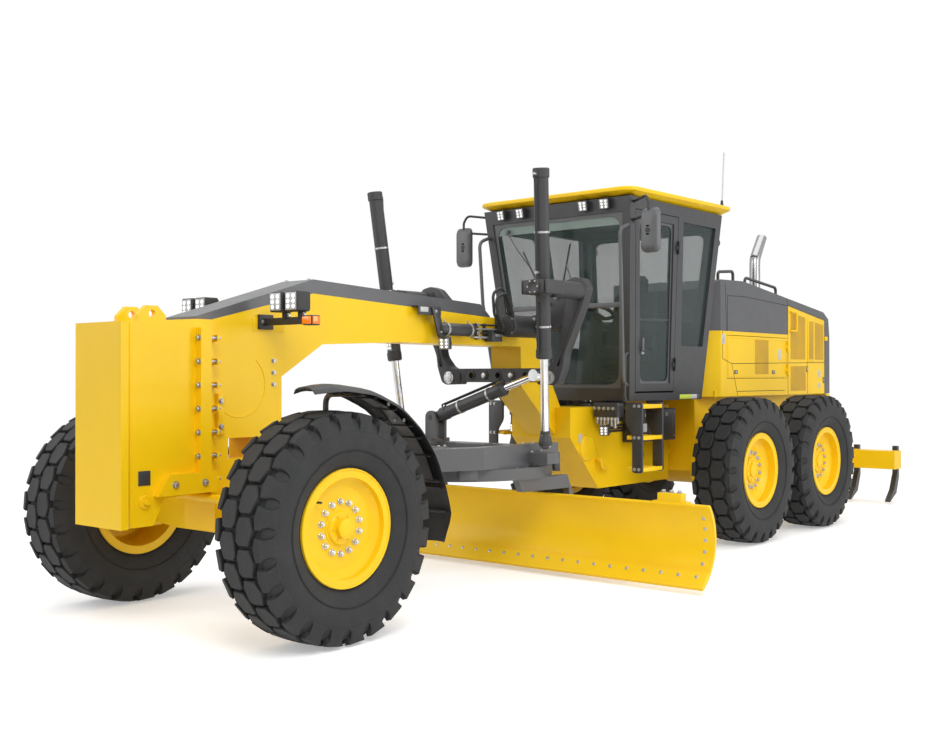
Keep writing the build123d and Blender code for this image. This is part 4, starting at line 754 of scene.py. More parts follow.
# Wheel fittings
def make_wheel_fittings():
    for node, body, sign in WHEELS:
        front = node.startswith("front")
        centre = node_centre(node)
        out = Vector((sign, 0, 0))
        maker = Maker()
        face = 102 if front else 60
        circle_r = 157 if front else 170
        stud_h = 22 if front else 26
        for i in range(14):
            angle = math.tau / 14 * (i + 0.5)
            radial = Vector((0, math.cos(angle) * sign, math.sin(angle))) * circle_r * MM
            seat = centre + out * face * MM + radial
            maker.turned(seat, out, ((0, 21), (5, 21), (7, 18.5), (7, 0)), 16)
            side = radial.normalized()
            other = out.cross(side)
            hexagon = [seat + out * 0.005 + (side * math.cos(math.tau * k / 6)
                                             + other * math.sin(math.tau * k / 6)) * 0.0175 for k in range(6)]
            maker.prism(hexagon, out * (stud_h - 4) * MM, 0, 0.002, 1)
            maker.rod(seat + out * (stud_h - 2) * MM, seat + out * (stud_h + 9) * MM, 0.009, 0, 10)
        stem_base = centre + out * (face + 16) * MM + Vector((0, -0.2 * sign, 0.17))
        maker.rod(stem_base, stem_base + out * 0.045, 0.007, 1, 10)
        maker.piece(f"nuts_{body}", body, ("nut", "black"))
        trim = Maker()
        # Rolled lips inside and outside the flange, the step round the disc and the hub's cap.
        for along, radius, thick in ((172, 354, 6.5), (168, 330, 5)):
            section = arc_points((along, radius), thick, 0, 360, 10)[:-1]
            trim.lathe(centre, out, [(a * MM, r * MM) for a, r in section], 64, 0, closed=True)
        if front:
            cap = ((168, 0), (169, 40), (166, 52), (160, 59), (158, 61), (150, 61))
            trim.turned(centre, out, cap, 40)
            trim.turned(centre, out, ((100, 118), (107, 116), (109, 108), (126, 101), (130, 96), (130, 60)), 48)
            trim.bolt_circle(centre + out * 0.128, out, Y_WAY, Z_WAY, 0.08, 6, 0.008)
        else:
            trim.turned(centre, out, ((58, 132), (66, 130), (68, 124), (84, 119), (88, 112), (88, 70),
                                      (101, 66), (104, 58), (104, 0)), 48, 0)
            trim.bolt_circle(centre + out * 0.087, out, Y_WAY, Z_WAY, 0.095, 10, 0.008)
        trim.piece(f"hub_trim_{body}", body, ("yellow",))


# Nose: push block, head and lamps. The side faces of the beam and head, and of the legs under the cab:
BEAM_X, LEG_X = 165, 330


def make_nose_fittings():
    maker = Maker()
    for z in range(960, 1900, 150):
        maker.bolt(at(235, -330, z), -Y_WAY, 0.014)
        maker.rod(at(240, -250, z), at(240, -168, z), 0.0085, 0, 12)
        maker.bolt(at(240, -205, z), Y_WAY, 0.013)
        maker.brick(at(BEAM_X, -205, z - 22), at(262, -190, z + 22), 1, 0.004)
    for z in (1290, 1455):
        maker.bolt(at(196, -130, z), X_WAY, 0.013)
    maker.brick(at(BEAM_X, -150, 1240), at(195, -100, 1505), 1, 0.005)
    for y, z in ((-520, 945), (-300, 945)):
        maker.bolt(at(260, y, z), X_WAY, 0.016)
    for z in (1560, 1640, 1720):
        maker.bolt(at(BEAM_X, 330, z), X_WAY, 0.012)
    maker.mirror()
    maker.piece("nose_bolts", "front", ("zinc", "yellow"))

    plate = Maker()
    # The bare plate and the round boss low on the block's side.
    plate.brick(at(200, -745, 950), at(204, -660, 1040), 0, 0.002)
    plate.rod(at(199, -700, 850), at(214, -700, 850), 0.042, 1, 28)
    plate.bolt(at(214, -700, 850), X_WAY, 0.018, 1, washer=False)
    # The push plate stands proud of the box, with a chamfered strip behind it.
    plate.prism([at(200, -843, 705), at(249, -843, 705), at(200, -800, 705)], Z_WAY * 1.235, 1, 0.002)
    # The weld down the head and the arc of another behind it.
    plate.tube([at(BEAM_X, -180, 1560), at(BEAM_X, -180, 900)], 0.006, 1, 8)
    circle = [at(BEAM_X, 40 + 215 * math.cos(math.radians(a)), 1560 + 215 * math.sin(math.radians(a)))
              for a in range(-150, 60, 10)]
    plate.tube(circle, 0.0045, 1, 6, bend=0)
    plate.mirror()
    plate.piece("nose_plates", "front", ("cast", "yellow"))


def lamp(maker, low, high):
    """A box lamp with a rim, a set-back lens of six dots and cooling fins, facing the machine's front."""
    shell, lens, dots = 0, 1, 4
    maker.brick(low, high, shell, 0.01, 3)
    rim, proud = 0.009, 0.004
    middle = (low + high) / 2
    for a in (-0.026, 0.026):
        for b in (-0.034, 0.0, 0.034):
            spot = (middle.x + a, low.y - proud, middle.z + b)
            maker.turned(spot, -Y_WAY, ((0, 14.5), (3, 13), (3, 0)), 14, dots)
    maker.brick((low.x + rim, low.y - proud, low.z + rim), (high.x - rim, low.y, high.z - rim), lens, 0.0015, 1)
    for k in range(4):
        x = low.x + (high.x - low.x) * (k + 0.5) / 4
        maker.brick((x - 0.002, high.y, low.z + 0.012), (x + 0.002, high.y + 0.012, high.z - 0.012), shell,
                    0.0005, 1)


def make_nose_lamps():
    maker = Maker()
    for x in (345, 500):
        lamp(maker, at(x - 2, 146, 2036), at(x + 122, 256, 2168))
        maker.brick(at(x + 42, 216, 1992), at(x + 78, 262, 2040), 0, 0.004)
        maker.bolt(at(x + 78, 239, 2016), X_WAY, 0.01, 2)
    maker.brick(at(170, 226, 1956), at(604, 274, 2004), 0, 0.005)
    maker.brick(at(166, 190, 1930), at(190, 310, 2030), 0, 0.004)
    for y in (215, 285):
        maker.bolt(at(190, y, 1980), X_WAY, 0.01, 2)
    # The turn signal stands at the outer end of the lamp bar.
    maker.brick(at(604, 200, 1945), at(700, 275, 2010), 0, 0.008)
    maker.brick(at(612, 190, 1952), at(694, 203, 2003), 3, 0.006)
    maker.brick(at(697, 206, 1952), at(706, 268, 2003), 3, 0.003)
    maker.mirror()
    lamps = maker.piece("nose_lamps", "front", ("plastic", "lens", "zinc", "amber", "led"))
    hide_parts("lamps")


# Fenders
FENDER_LINE = [(-215, 1552), (-40, 1574), (238, 1540), (483, 1440), (676, 1286), (809, 1113), (899, 911),
               (961, 720), (967, 510)]
FENDER_X = (918, 1268)
WHEEL_RADIUS = 0.705


def fender_rings(sign, lift, half, drop, thick):
    """Cross sections along the guard: crowned outside, hollow inside, with a turned-down lip."""
    route = rounded([Vector((0, y * MM, z * MM)) for y, z in FENDER_LINE], 0.5)
    middle = (FENDER_X[0] + FENDER_X[1]) / 2 * MM
    rings = []
    for i, point in enumerate(route):
        before = route[max(i - 1, 0)]
        after = route[min(i + 1, len(route) - 1)]
        along = (after - before).normalized()
        up = Vector((0, -along.z, along.y))
        if up.dot(point - Z_WAY * WHEEL_RADIUS) < 0:
            up = -up
        share = min(1.0, min(i, len(route) - 1 - i) / 3.0 + 0.55)
        ring = []
        outer = []
        for k in range(-6, 7):
            u = k / 6
            outer.append((u * half * share, lift - drop * abs(u) ** 2.6))
        lip = drop + 0.016
        inner = [(u - math.copysign(thick, u) if abs(u) > half * 0.9 * share else u, h - thick)
                 for u, h in outer]
        outer[0] = (outer[0][0], lift - lip)
        outer[-1] = (outer[-1][0], lift - lip)
        for u, h in outer + inner[::-1]:
            ring.append(Vector((sign * (middle + u), point.y, point.z)) + up * h)
        rings.append(ring)
    return rings


def skin_rings(maker, rings, mat=0):
    """Join rings of equal length into a closed skin with capped ends."""
    made = [[maker.bm.verts.new(p) for p in ring] for ring in rings]
    maker.join(made, mat)
    n = len(made[0])
    half = n // 2
    for ring in (made[0], made[-1]):
        for k in range(half - 1):
            maker.bm.faces.new((ring[k], ring[k + 1], ring[n - 2 - k], ring[n - 1 - k])).material_index = mat


def make_fenders():
    for side, sign in SIDES:
        offset = AXLE_LEFT.y
        maker = Maker()
        skin_rings(maker, fender_rings(sign, 0.0, 0.172, 0.03, 0.007))
        skin_rings(maker, fender_rings(sign, -0.03, 0.075, 0.0, 0.006)[3:-6], 1)
        route = rounded([Vector((0, y * MM, z * MM)) for y, z in FENDER_LINE], 0.5)
        rib = Vector((0.11, 0.006, 0.013))
        for i in range(2, len(route) - 1, 2):
            point = route[i]
            way = (route[i + 1] - route[i - 1]).normalized()
            up = Vector((0, -way.z, way.y))
            up = up if up.dot(point - Z_WAY * WHEEL_RADIUS) > 0 else -up
            middle = Vector((sign * 1.093, point.y, point.z)) - up * 0.03
            turn = Matrix((X_WAY, way, up)).transposed()
            maker.brick(middle - rib, middle + rib, 1, 0.002, 1, turn)
        for v in maker.bm.verts:
            v.co.y += offset
        post = ((825, 205, 785), (825, 205, 1500), (1133, 205, 1508))
        stay = ((825, 205, 1180), (860, 420, 1290), (1020, 560, 1340))
        for route in (post, stay):
            maker.tube([at(sign * x, y, z) for x, y, z in route], 0.0185, 1, 14, 0.07)
        for y, z in ((205, 1523), (420, 1440), (560, 1335)):
            for x in (1010, 1090, 1170):
                spot = at(sign * x, y, z - 12)
                maker.rod(spot, spot + Z_WAY * 0.022, 0.011, 2, 10)
        plate = [at(sign * 832, y, z) for y, z in ((175, 1130), (235, 1130), (250, 1240), (160, 1240))]
        maker.prism(plate, X_WAY * sign * 0.012, 1, 0.003)
        obj = maker.piece(f"fender_guard_{side}", f"knuckle_{side}", ("plastic", "black", "zinc"))
        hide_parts(f"fender_{side}")


# Saddle, lift cylinders and the things on the beam
LIFT_TOP = (857, 2457, 2310)
LIFT_LOW = (780, 2590, 1080)
SHIFT_LOW = (-560, 2765, 1250)
SHIFT_HIGH = (540, 2775, 1620)


def holed_cell(maker, low, high, radius):
    """A slab between two corners with a round hole through its middle along Y."""
    middle = (Vector(low) + Vector(high)) / 2
    half_x = (high[0] - low[0]) / 2
    half_z = (high[2] - low[2]) / 2
    rings = []
    for y in (low[1], high[1]):
        inner, outer = [], []
        for k in range(32):
            a = math.tau * (k + 0.5) / 32
            c, s = math.cos(a), math.sin(a)
            inner.append(maker.bm.verts.new((middle.x + c * radius, y, middle.z + s * radius)))
            reach = min(half_x / max(abs(c), 1e-6), half_z / max(abs(s), 1e-6))
            outer.append(maker.bm.verts.new((middle.x + c * reach, y, middle.z + s * reach)))
        rings += [inner, outer]
    for k in range(32):
        m = (k + 1) % 32
        for a, b in ((0, 1), (2, 3), (0, 2), (1, 3)):
            maker.bm.faces.new((rings[a][k], rings[a][m], rings[b][m], rings[b][k]))


SADDLE_Y = (2940, 3040)
SWING_TUBE = (330, 2030)
LINK_HOLES = (-300, -150, 0, 150, 300)


def make_saddle():
    """Swing tubes, bell cranks, cylinder yokes and the holed link bar."""
    maker = Maker()
    y0, y1 = SADDLE_Y
    x, z = SWING_TUBE
    maker.rod(at(x, y0 - 270, z), at(x, y1 + 20, z), 0.092, 0, 44, 0.08)
    maker.brick(at(165.3, y0 - 240, z - 80), at(x, y1 - 10, z + 80), 0, 0.006)
    upper = [(270, 2110), (430, 2135), (700, 2400), (800, 2430), (900, 2410), (940, 2330), (900, 2200),
             (640, 2010), (420, 1970), (250, 1970)]
    outer = [(690, 2060), (760, 2380), (900, 2400), (938, 2320), (890, 2180), (790, 1960), (715, 1800),
             (700, 1690), (650, 1560), (600, 1535), (520, 1540), (430, 1540), (425, 1640), (560, 1700),
             (640, 1790), (665, 1900)]
    for loop, front, deep in ((upper, y0 + 14, 0.086), (outer, y0, 0.1)):
        loop = rounded_loop([at(px, front, pz) for px, pz in loop], 0.02, 2)
        maker.prism(loop, Vector((0, deep, 0)), 0, 0.006)
    rib = rounded_loop([at(px, y0 - 7, pz) for px, pz in ((800, 2350), (880, 2330), (850, 2180), (760, 1980),
                                                          (690, 1810), (670, 1700), (640, 1700), (700, 1880),
                                                          (760, 2120))], 0.02, 2)
    maker.prism(rib, Y_WAY * 0.012, 0, 0.003)
    tube_x, tube_y, tube_z = LIFT_TOP
    reach = 120
    maker.rod(at(tube_x, y1 - 20, tube_z), at(tube_x, tube_y + reach, tube_z), 0.072, 0, 36, 0.08)
    for x0, x1 in ((tube_x - 126, tube_x - 92), (tube_x + 92, tube_x + 126)):
        maker.brick(at(x0, tube_y - reach, tube_z - 55), at(x1, tube_y + reach, tube_z + 55), 0, 0.01, 3)
    for y in (tube_y - reach, tube_y + reach - 34):
        maker.brick(at(tube_x - 120, y, tube_z - 55), at(tube_x + 120, y + 34, tube_z + 55), 0, 0.01, 3)
    maker.mirror()
    for hole in LINK_HOLES:
        holed_cell(maker, at(hole - 75, y0 + 10, 1560), at(hole + 75, y1 - 10, 1680), 0.026)
    for s in (-1, 1):
        low, high = sorted((s * 374, s * 520))
        maker.brick(at(low, y0 + 10, 1560), at(high, y1 - 10, 1680), 0, 0.004)
    obj = maker.piece("lift_saddle", "front", ("cast",), smooth=40)
    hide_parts("saddle")


def make_saddle_fittings():
    maker = Maker()
    x, y, z = LIFT_TOP
    for face_y, way in ((y - 120, -1), (y + 120, 1)):
        centre = at(x, face_y, z)
        maker.turned(centre, (0, way, 0), ((-2, 62), (8, 61), (14, 55), (15, 40), (11, 34), (11, 0)), 36)
        maker.bolt_circle(centre + Y_WAY * way * 0.013, (0, way, 0), X_WAY, Z_WAY, 0.048, 6, 0.006, 1)
    for spot in ((560, 2939, 1600), (330, 2669, 2030)):
        r = 40 if spot[2] < 1700 else 70
        maker.turned(at(*spot), -Y_WAY, ((-2, r + 16), (7, r + 15), (9, r + 8), (9, r), (15, r - 2),
                                             (17, r - 8), (17, 0)), 36, 2 if r == 40 else 0)
        maker.bolt_circle(at(*spot) - Y_WAY * 0.008, -Y_WAY, X_WAY, Z_WAY, (r + 9) * MM, 4, 0.006, 1, 0.5)
    for dx, dz in ((0, 60), (70, 110), (150, 190), (230, 240)):
        maker.bolt(at(400 + dx, 2939, 2030 + dz), -Y_WAY, 0.012, 1)
    for dz in (0, 90):
        maker.bolt(at(200, 2700, 1985 + dz), -Y_WAY, 0.011, 1)
    maker.mirror()
    # Hoses that arch from the beam's clamp block over to the swing tube.
    for k in range(2):
        x = 352 + 34 * k
        maker.tube([at(262, 2600 + 50 * k, 1985), at(x, 2560, 2000), at(x, 2470, 2120),
                    at(x, 2450, 2290 - 40 * k), at(x, 2580, 2350 - 50 * k), at(x, 2640, 2200),
                    at(x - 10, 2690, 2080)], 0.0125, 3, 12, 0.07)
    for x in LINK_HOLES:
        hole = at(x, 2950, 1620)
        maker.turned(hole, -Y_WAY, ((-3, 40), (6, 39), (8, 34), (8, 27), (-3, 26)), 28)
    for x in LINK_HOLES[1::2]:
        pin = at(x, 2938, 1620)
        maker.turned(pin, -Y_WAY, ((-12, 24), (9, 24), (12, 20), (12, 0)), 24, 2)
    maker.piece("saddle_fittings", "front", ("cast", "zinc", "steel", "hose"), smooth=40)


def make_lift_fittings():
    for side, sign in SIDES:
        top = at(*LIFT_TOP)
        low = at(*LIFT_LOW)
        if sign < 0:
            top, low = flip(top), flip(low)
        axis = (low - top).normalized()
        outward = X_WAY * sign
        outward = (outward - axis * outward.dot(axis)).normalized()
        back = axis.cross(outward)
        maker = Maker()
        maker.turned(top, axis, ((-928, 0), (-928, 60), (-922, 66), (-858, 66), (-852, 61), (-852, 57)), 40)
        maker.turned(top, axis, ((-60, 58), (-58, 74), (-46, 79), (46, 79), (58, 74), (60, 58)), 40)
        maker.turned(top, axis, ((488, 57), (490, 64), (552, 64), (562, 56), (562, 33)), 40)
        for distance in (-440, 300):
            maker.band(top, axis, distance * MM, 0.058, 0.0045, 0.016, 40, 1)
            ear = top + axis * distance * MM + axis * 0.008
            maker.brick(ear + outward * 0.058 - Vector((0.01, 0.008, 0.008)), ear + outward * 0.058
                        + Vector((0.012, 0.008, 0.008)), 1, 0.002)
        line = ((-0.88, 0.05), (-0.88, 0.088), (-0.78, 0.076), (-0.10, 0.076))
        maker.tube([top + axis * along + back * out for along, out in line], 0.0085, 2, 10, 0.03)
        for distance in (-0.88, -0.12):
            maker.rod(top + axis * distance + back * 0.05, top + axis * distance + back * 0.09, 0.013, 1, 8)
        line = ((0.12, 0.05), (0.12, 0.076), (0.50, 0.076), (0.52, 0.055))
        maker.tube([top + axis * along + back * out for along, out in line], 0.0085, 2, 10, 0.02)
        maker.bolt_circle(top + axis * 0.561, axis, outward, back, 0.048, 8, 0.005, 1)
        maker.piece(f"lift_dressing_{side}", f"lift_barrel_{side}", ("cast", "zinc", "hose"))
        eye = Maker()
        eye.turned(low, -axis, ((-18, 40), (-22, 46), (-18, 51), (2, 54), (30, 50), (38, 45), (58, 44),
                                (64, 40), (92, 40), (98, 34), (98, 30)), 36, 0)
        eye.bolt_circle(low - axis * 0.062, -axis, outward, back, 0.041, 4, 0.005, 1)
        eye.piece(f"lift_eye_{side}", f"lift_rod_{side}", ("cast", "zinc"))

    start = at(*SHIFT_LOW)
    end = at(*SHIFT_HIGH)
    axis = (end - start).normalized()
    up = (Z_WAY - axis * Z_WAY.dot(axis)).normalized()
    other = axis.cross(up)
    maker = Maker()
    maker.turned(start, axis, ((76, 40), (78, 56), (84, 61), (150, 61), (156, 55)), 36)
    maker.turned(start, axis, ((756, 54), (758, 61), (812, 61), (822, 54), (822, 31)), 36)
    for distance in (300, 640):
        maker.band(start, axis, distance * MM, 0.055, 0.0045, 0.018, 36, 1)
    for shift in (-0.02, 0.02):
        lag = shift * 3
        line = ((0.12, 0.055), (0.12, 0.078), (0.5 + lag, 0.078), (0.78 + lag, 0.078), (0.79 + lag, 0.05))
        maker.tube([start + axis * along + up * out + other * shift for along, out in line], 0.0075, 2, 10,
                   0.02)
    maker.piece("shift_dressing", "shift_barrel", ("black", "zinc", "hose"))


def led_lamp(maker, centre, facing, size=0.088, shell_mat=0, lens_mat=1, dot_mat=2):
    """A square work lamp of six light dots in a finned shell, facing any way."""
    centre = Vector(centre)
    facing = Vector(facing).normalized()
    side = facing.cross(Z_WAY).normalized()
    up = side.cross(facing)
    turn = Matrix((side, up, facing)).transposed()
    half = size / 2

    def local(a, b, c):
        return centre + turn @ Vector((a, b, c))

    def slab(a0, a1, b0, b1, c0, c1, mat, bevel):
        loop = [local(a0, b0, c0), local(a1, b0, c0), local(a1, b1, c0), local(a0, b1, c0)]
        maker.prism(loop, turn @ Vector((0, 0, c1 - c0)), mat, bevel, 2)

    slab(-half, half, -half, half, -0.045, 0.0, shell_mat, 0.008)
    slab(-half + 0.006, half - 0.006, -half + 0.006, half - 0.006, -0.002, 0.004, lens_mat, 0.002)
    for i in range(2):
        for j in range(3):
            a = (i - 0.5) * size * 0.42
            b = (j - 1) * size * 0.27
            maker.turned(local(a, b, 0.0035), facing, ((0, 10.5), (2.8, 9.5), (2.8, 0)), 14, dot_mat)
    for k in range(5):
        a = (k - 2) * size * 0.18
        slab(a - 0.002, a + 0.002, -half * 0.8, half * 0.8, -0.058, -0.043, shell_mat, 0.0005)
    for s in (-1, 1):
        slab(s * half - 0.004, s * half + 0.004, -0.012, 0.012, -0.035, -0.012, shell_mat, 0.002)


def make_beam_fittings():
    maker = Maker()
    # The accumulator on two clamps, the lamp on its angle bracket and the blank plate above it.
    core = at(238, 0, 1985)
    rows = [(1925, 0), (1925, 26), (1935, 42), (1955, 50), (2310, 50), (2332, 42), (2342, 26), (2342, 15),
            (2372, 15), (2372, 0)]
    maker.turned(core, Y_WAY, rows, 36, 0)
    for y in (1990, 2270):
        maker.band(core, Y_WAY, y * MM, 0.0505, 0.004, 0.02, 36, 3)
        maker.brick(at(BEAM_X, y - 6, 1960), at(200, y + 26, 2010), 0, 0.003)
        maker.rod(at(228, y + 10, 2036), at(228, y + 10, 2062), 0.007, 3, 8)
    maker.brick(at(BEAM_X, 1690, 2152), at(235, 1950, 2160), 0, 0.002)
    maker.brick(at(228, 1690, 2090), at(238, 1950, 2160), 0, 0.002)
    maker.brick(at(238, 1712, 2112), at(241, 1800, 2150), 4, 0.001)
    arm = [at(238, 1830, 2150), at(238, 1905, 2150), at(238, 1985, 1925), at(238, 1905, 1925)]
    maker.prism(arm, X_WAY * 0.016, 0, 0.003)
    for y, z in ((1868, 2120), (1930, 1960)):
        maker.bolt(at(254, y, z), X_WAY, 0.009, 3)
    led_lamp(maker, at(300, 1915, 1868), (0.35, -1, -0.12), 0.096, 0, 1, 2)
    maker.brick(at(246, 1900, 1905), at(330, 1945, 1925), 0, 0.003)
    # Pipes from the accumulator to the saddle, held along the beam.
    for k in range(4):
        z = 2035 - k * 34
        maker.tube([at(172, 2372 + 8 * k, z), at(205, 2390 + 8 * k, z), at(205, 2560, z), at(225, 2650, z)],
                   0.0085, 3 if k % 2 else 5, 10, 0.03)
        maker.rod(at(205, 2420 + 30 * (k % 2), z), at(205, 2455 + 30 * (k % 2), z), 0.014, 3, 6)
    for y in (2440, 2540):
        maker.brick(at(BEAM_X, y, 1915), at(186, y + 24, 2050), 0, 0.002)
    maker.brick(at(166, 2560, 1900), at(260, 2690, 1995), 0, 0.008)
    for k in range(3):
        maker.rod(at(260, 2590 + 36 * k, 1950), at(284, 2590 + 36 * k, 1950), 0.013, 3, 6)
    # The bright plate behind the turn signal.
    maker.brick(at(BEAM_X, 150, 1915), at(168, 420, 2010), 6, 0.001)
    maker.mirror()
    # Low round bolts along the dark cover.
    for y, z in ((-220, 2005), (300, 2142), (686, 2300), (1500, 2262), (2400, 2217)):
        for x in (-120, 120):
            maker.turned(at(x, y, z), Z_WAY, ((-20, 12), (4, 12), (7, 7), (7, 0)), 10, 3)
    maker.piece("beam_fittings", "front", ("black", "lens", "led", "zinc", "blank", "hose", "yellow"))


# Blade group
CIRCLE_Y, SHOE_REACH = 2460, 566


def make_drawbar_fittings():
    maker = Maker()
    maker.brick(at(-210, 1962, 1034), at(210, 2078, 1052), 0, 0.004)
    maker.brick(at(-150, 2560, 1034), at(150, 2700, 1050), 0, 0.004)
    loop = [at(-45, 2020, 1050), at(-45, 2020, 1098), at(45, 2020, 1098), at(45, 2020, 1050)]
    maker.tube(loop, 0.008, 0, 10, 0.03)
    for x in (-180, 180):
        for y in (1985, 2055):
            maker.bolt(at(x, y, 1052), Z_WAY, 0.011, 1)
    for x in (602, 690):
        for y in (2530, 2650):
            maker.bolt(at(x, y, 1001 if x > 668 else 1066), Z_WAY, 0.01, 1)
    # The guide shoes stand at 45 degrees round the circle.
    half = Vector((0.028, 0.07, 0.08))
    for sx in (1, -1):
        for sy in (1, -1):
            turn = Matrix.Rotation(math.atan2(sy, sx), 3, 'Z')
            middle = at(sx * SHOE_REACH, CIRCLE_Y + sy * SHOE_REACH, 900) + turn @ Vector((-0.004, 0, 0))
            maker.brick(middle - half, middle + half, 0, 0.005, 2, turn)
    maker.piece("drawbar_fittings", "drawbar", ("charcoal", "zinc"))

    ring = Maker()
    for k in range(40):
        a = math.tau * k / 40
        out = Vector((math.cos(a), math.sin(a), 0))
        ring.turned(at(0, CIRCLE_Y, 890) + out * 0.69, Z_WAY, ((-4, 9), (3.5, 9), (5, 5), (5, 0)), 8, 1)
    for s in (-1, 1):
        ring.turned(at(s * 730, 3010, 330), X_WAY * s, ((0, 62), (12, 60), (14, 50), (14, 0)), 32)
        for k in range(3):
            a = math.tau * k / 3
            ring.bolt(at(s * 744, 3010, 330) + Vector((0, math.cos(a), math.sin(a))) * 0.035, (s, 0, 0),
                      0.008, 1)
    ring.piece("circle_fittings", "circle", ("charcoal", "zinc"))


def blade_face(z):
    """A point on the blade's hollow front face at a height, and the way out of it."""
    centre_y, centre_z = BLADE_CENTRE
    y = centre_y + math.sqrt((BLADE_RADIUS - BLADE_THICK) ** 2 - (z - centre_z) ** 2)
    return y, Vector((0, centre_y - y, centre_z - z)).normalized()


def circle_through(points):
    (x1, y1), (x2, y2), (x3, y3) = points
    d = 2 * (x1 * (y2 - y3) + x2 * (y3 - y1) + x3 * (y1 - y2))
    s1, s2, s3 = x1 * x1 + y1 * y1, x2 * x2 + y2 * y2, x3 * x3 + y3 * y3
    cx = (s1 * (y2 - y3) + s2 * (y3 - y1) + s3 * (y1 - y2)) / d
    cy = (s1 * (x3 - x2) + s2 * (x1 - x3) + s3 * (x2 - x1)) / d
    return (cx, cy), math.dist((cx, cy), points[0])


# The blade's back, as (y, z) at its edge, its waist and its top.
BLADE_CENTRE, BLADE_RADIUS = circle_through([(2700, 40), (2903, 370), (2812, 657)])
BLADE_THICK = 25


def make_blade_fittings():
    maker = Maker()
    head = ((-4, 0), (-4, 15), (1, 15), (3, 11), (3.5, 0))
    for k in range(28):
        x = -2055 + k * 152.2
        maker.turned(at(x, 2743, 132), (0, -0.78, 0.62), head, 14)
    for x in (-2055, 2055):
        for z in (215, 300, 385, 470, 550):
            y, way = blade_face(z)
            maker.turned(at(x, y, z), way, head, 14)
    for s in (1, -1):
        # The clamp on the top edge, with three bolts.
        low, high = sorted((s * 1640, s * 1940))
        maker.brick(at(low, 2796, 636), at(high, 2882, 664), 1, 0.005)
        maker.brick(at(low + 45, 2800, 660), at(high - 45, 2876, 726), 1, 0.006)
        for k in range(3):
            maker.bolt(at(s * 1790 - 70 + 70 * k, 2838, 726), Z_WAY, 0.016, 0)
    maker.brick(at(-2131, 2786, 640), at(2131, 2814, 655), 1, 0.004)
    maker.piece("blade_fittings", "blade", ("zinc", "yellow"))


# Cab: its floor and height, and how far its faces stand at the floor and lean out by the roof.
CAB_FLOOR, CAB_HEIGHT = 1385, 1815


def cab_front_y(z):
    return 3985 - 220 * (z - CAB_FLOOR) / CAB_HEIGHT


def cab_side_x(z):
    return 680 + 155 * (z - CAB_FLOOR) / CAB_HEIGHT


def cab_rear_y(z):
    return 5300 + 140 * (z - CAB_FLOOR) / CAB_HEIGHT


def band_frame(maker, corners, inner, way, depth, mat, radius=0.07):
    """A flat surround: outer loop on the corners, inner loop rounded and set in."""
    corners = [Vector(c) for c in corners]
    ins = []
    for i, c in enumerate(corners):
        a = (corners[i - 1] - c).normalized()
        b = (corners[(i + 1) % 4] - c).normalized()
        ins.append(c + (a + b) * inner / max(0.3, a.cross(b).length))
    loop_in = rounded_loop(ins, radius)
    way = Vector(way).normalized()
    n = len(loop_in)
    bm = maker.bm
    outs = [bm.verts.new(c) for c in corners] + [bm.verts.new(c + way * depth) for c in corners]
    front = [bm.verts.new(p + way * depth) for p in loop_in]
    back = [bm.verts.new(p) for p in loop_in]
    for i in range(n):
        j = (i + 1) % n
        ci, cj = i // 7, j // 7
        for base, ring in ((4, front), (0, back)):
            if ci == cj:
                face = (outs[base + ci], ring[i], ring[j])
            else:
                face = (outs[base + ci], ring[i], ring[j], outs[base + cj])
            bm.faces.new(face).material_index = mat
        bm.faces.new((front[i], back[i], back[j], front[j])).material_index = mat
    for i in range(4):
        j = (i + 1) % 4
        bm.faces.new((outs[i], outs[j], outs[4 + j], outs[4 + i])).material_index = mat


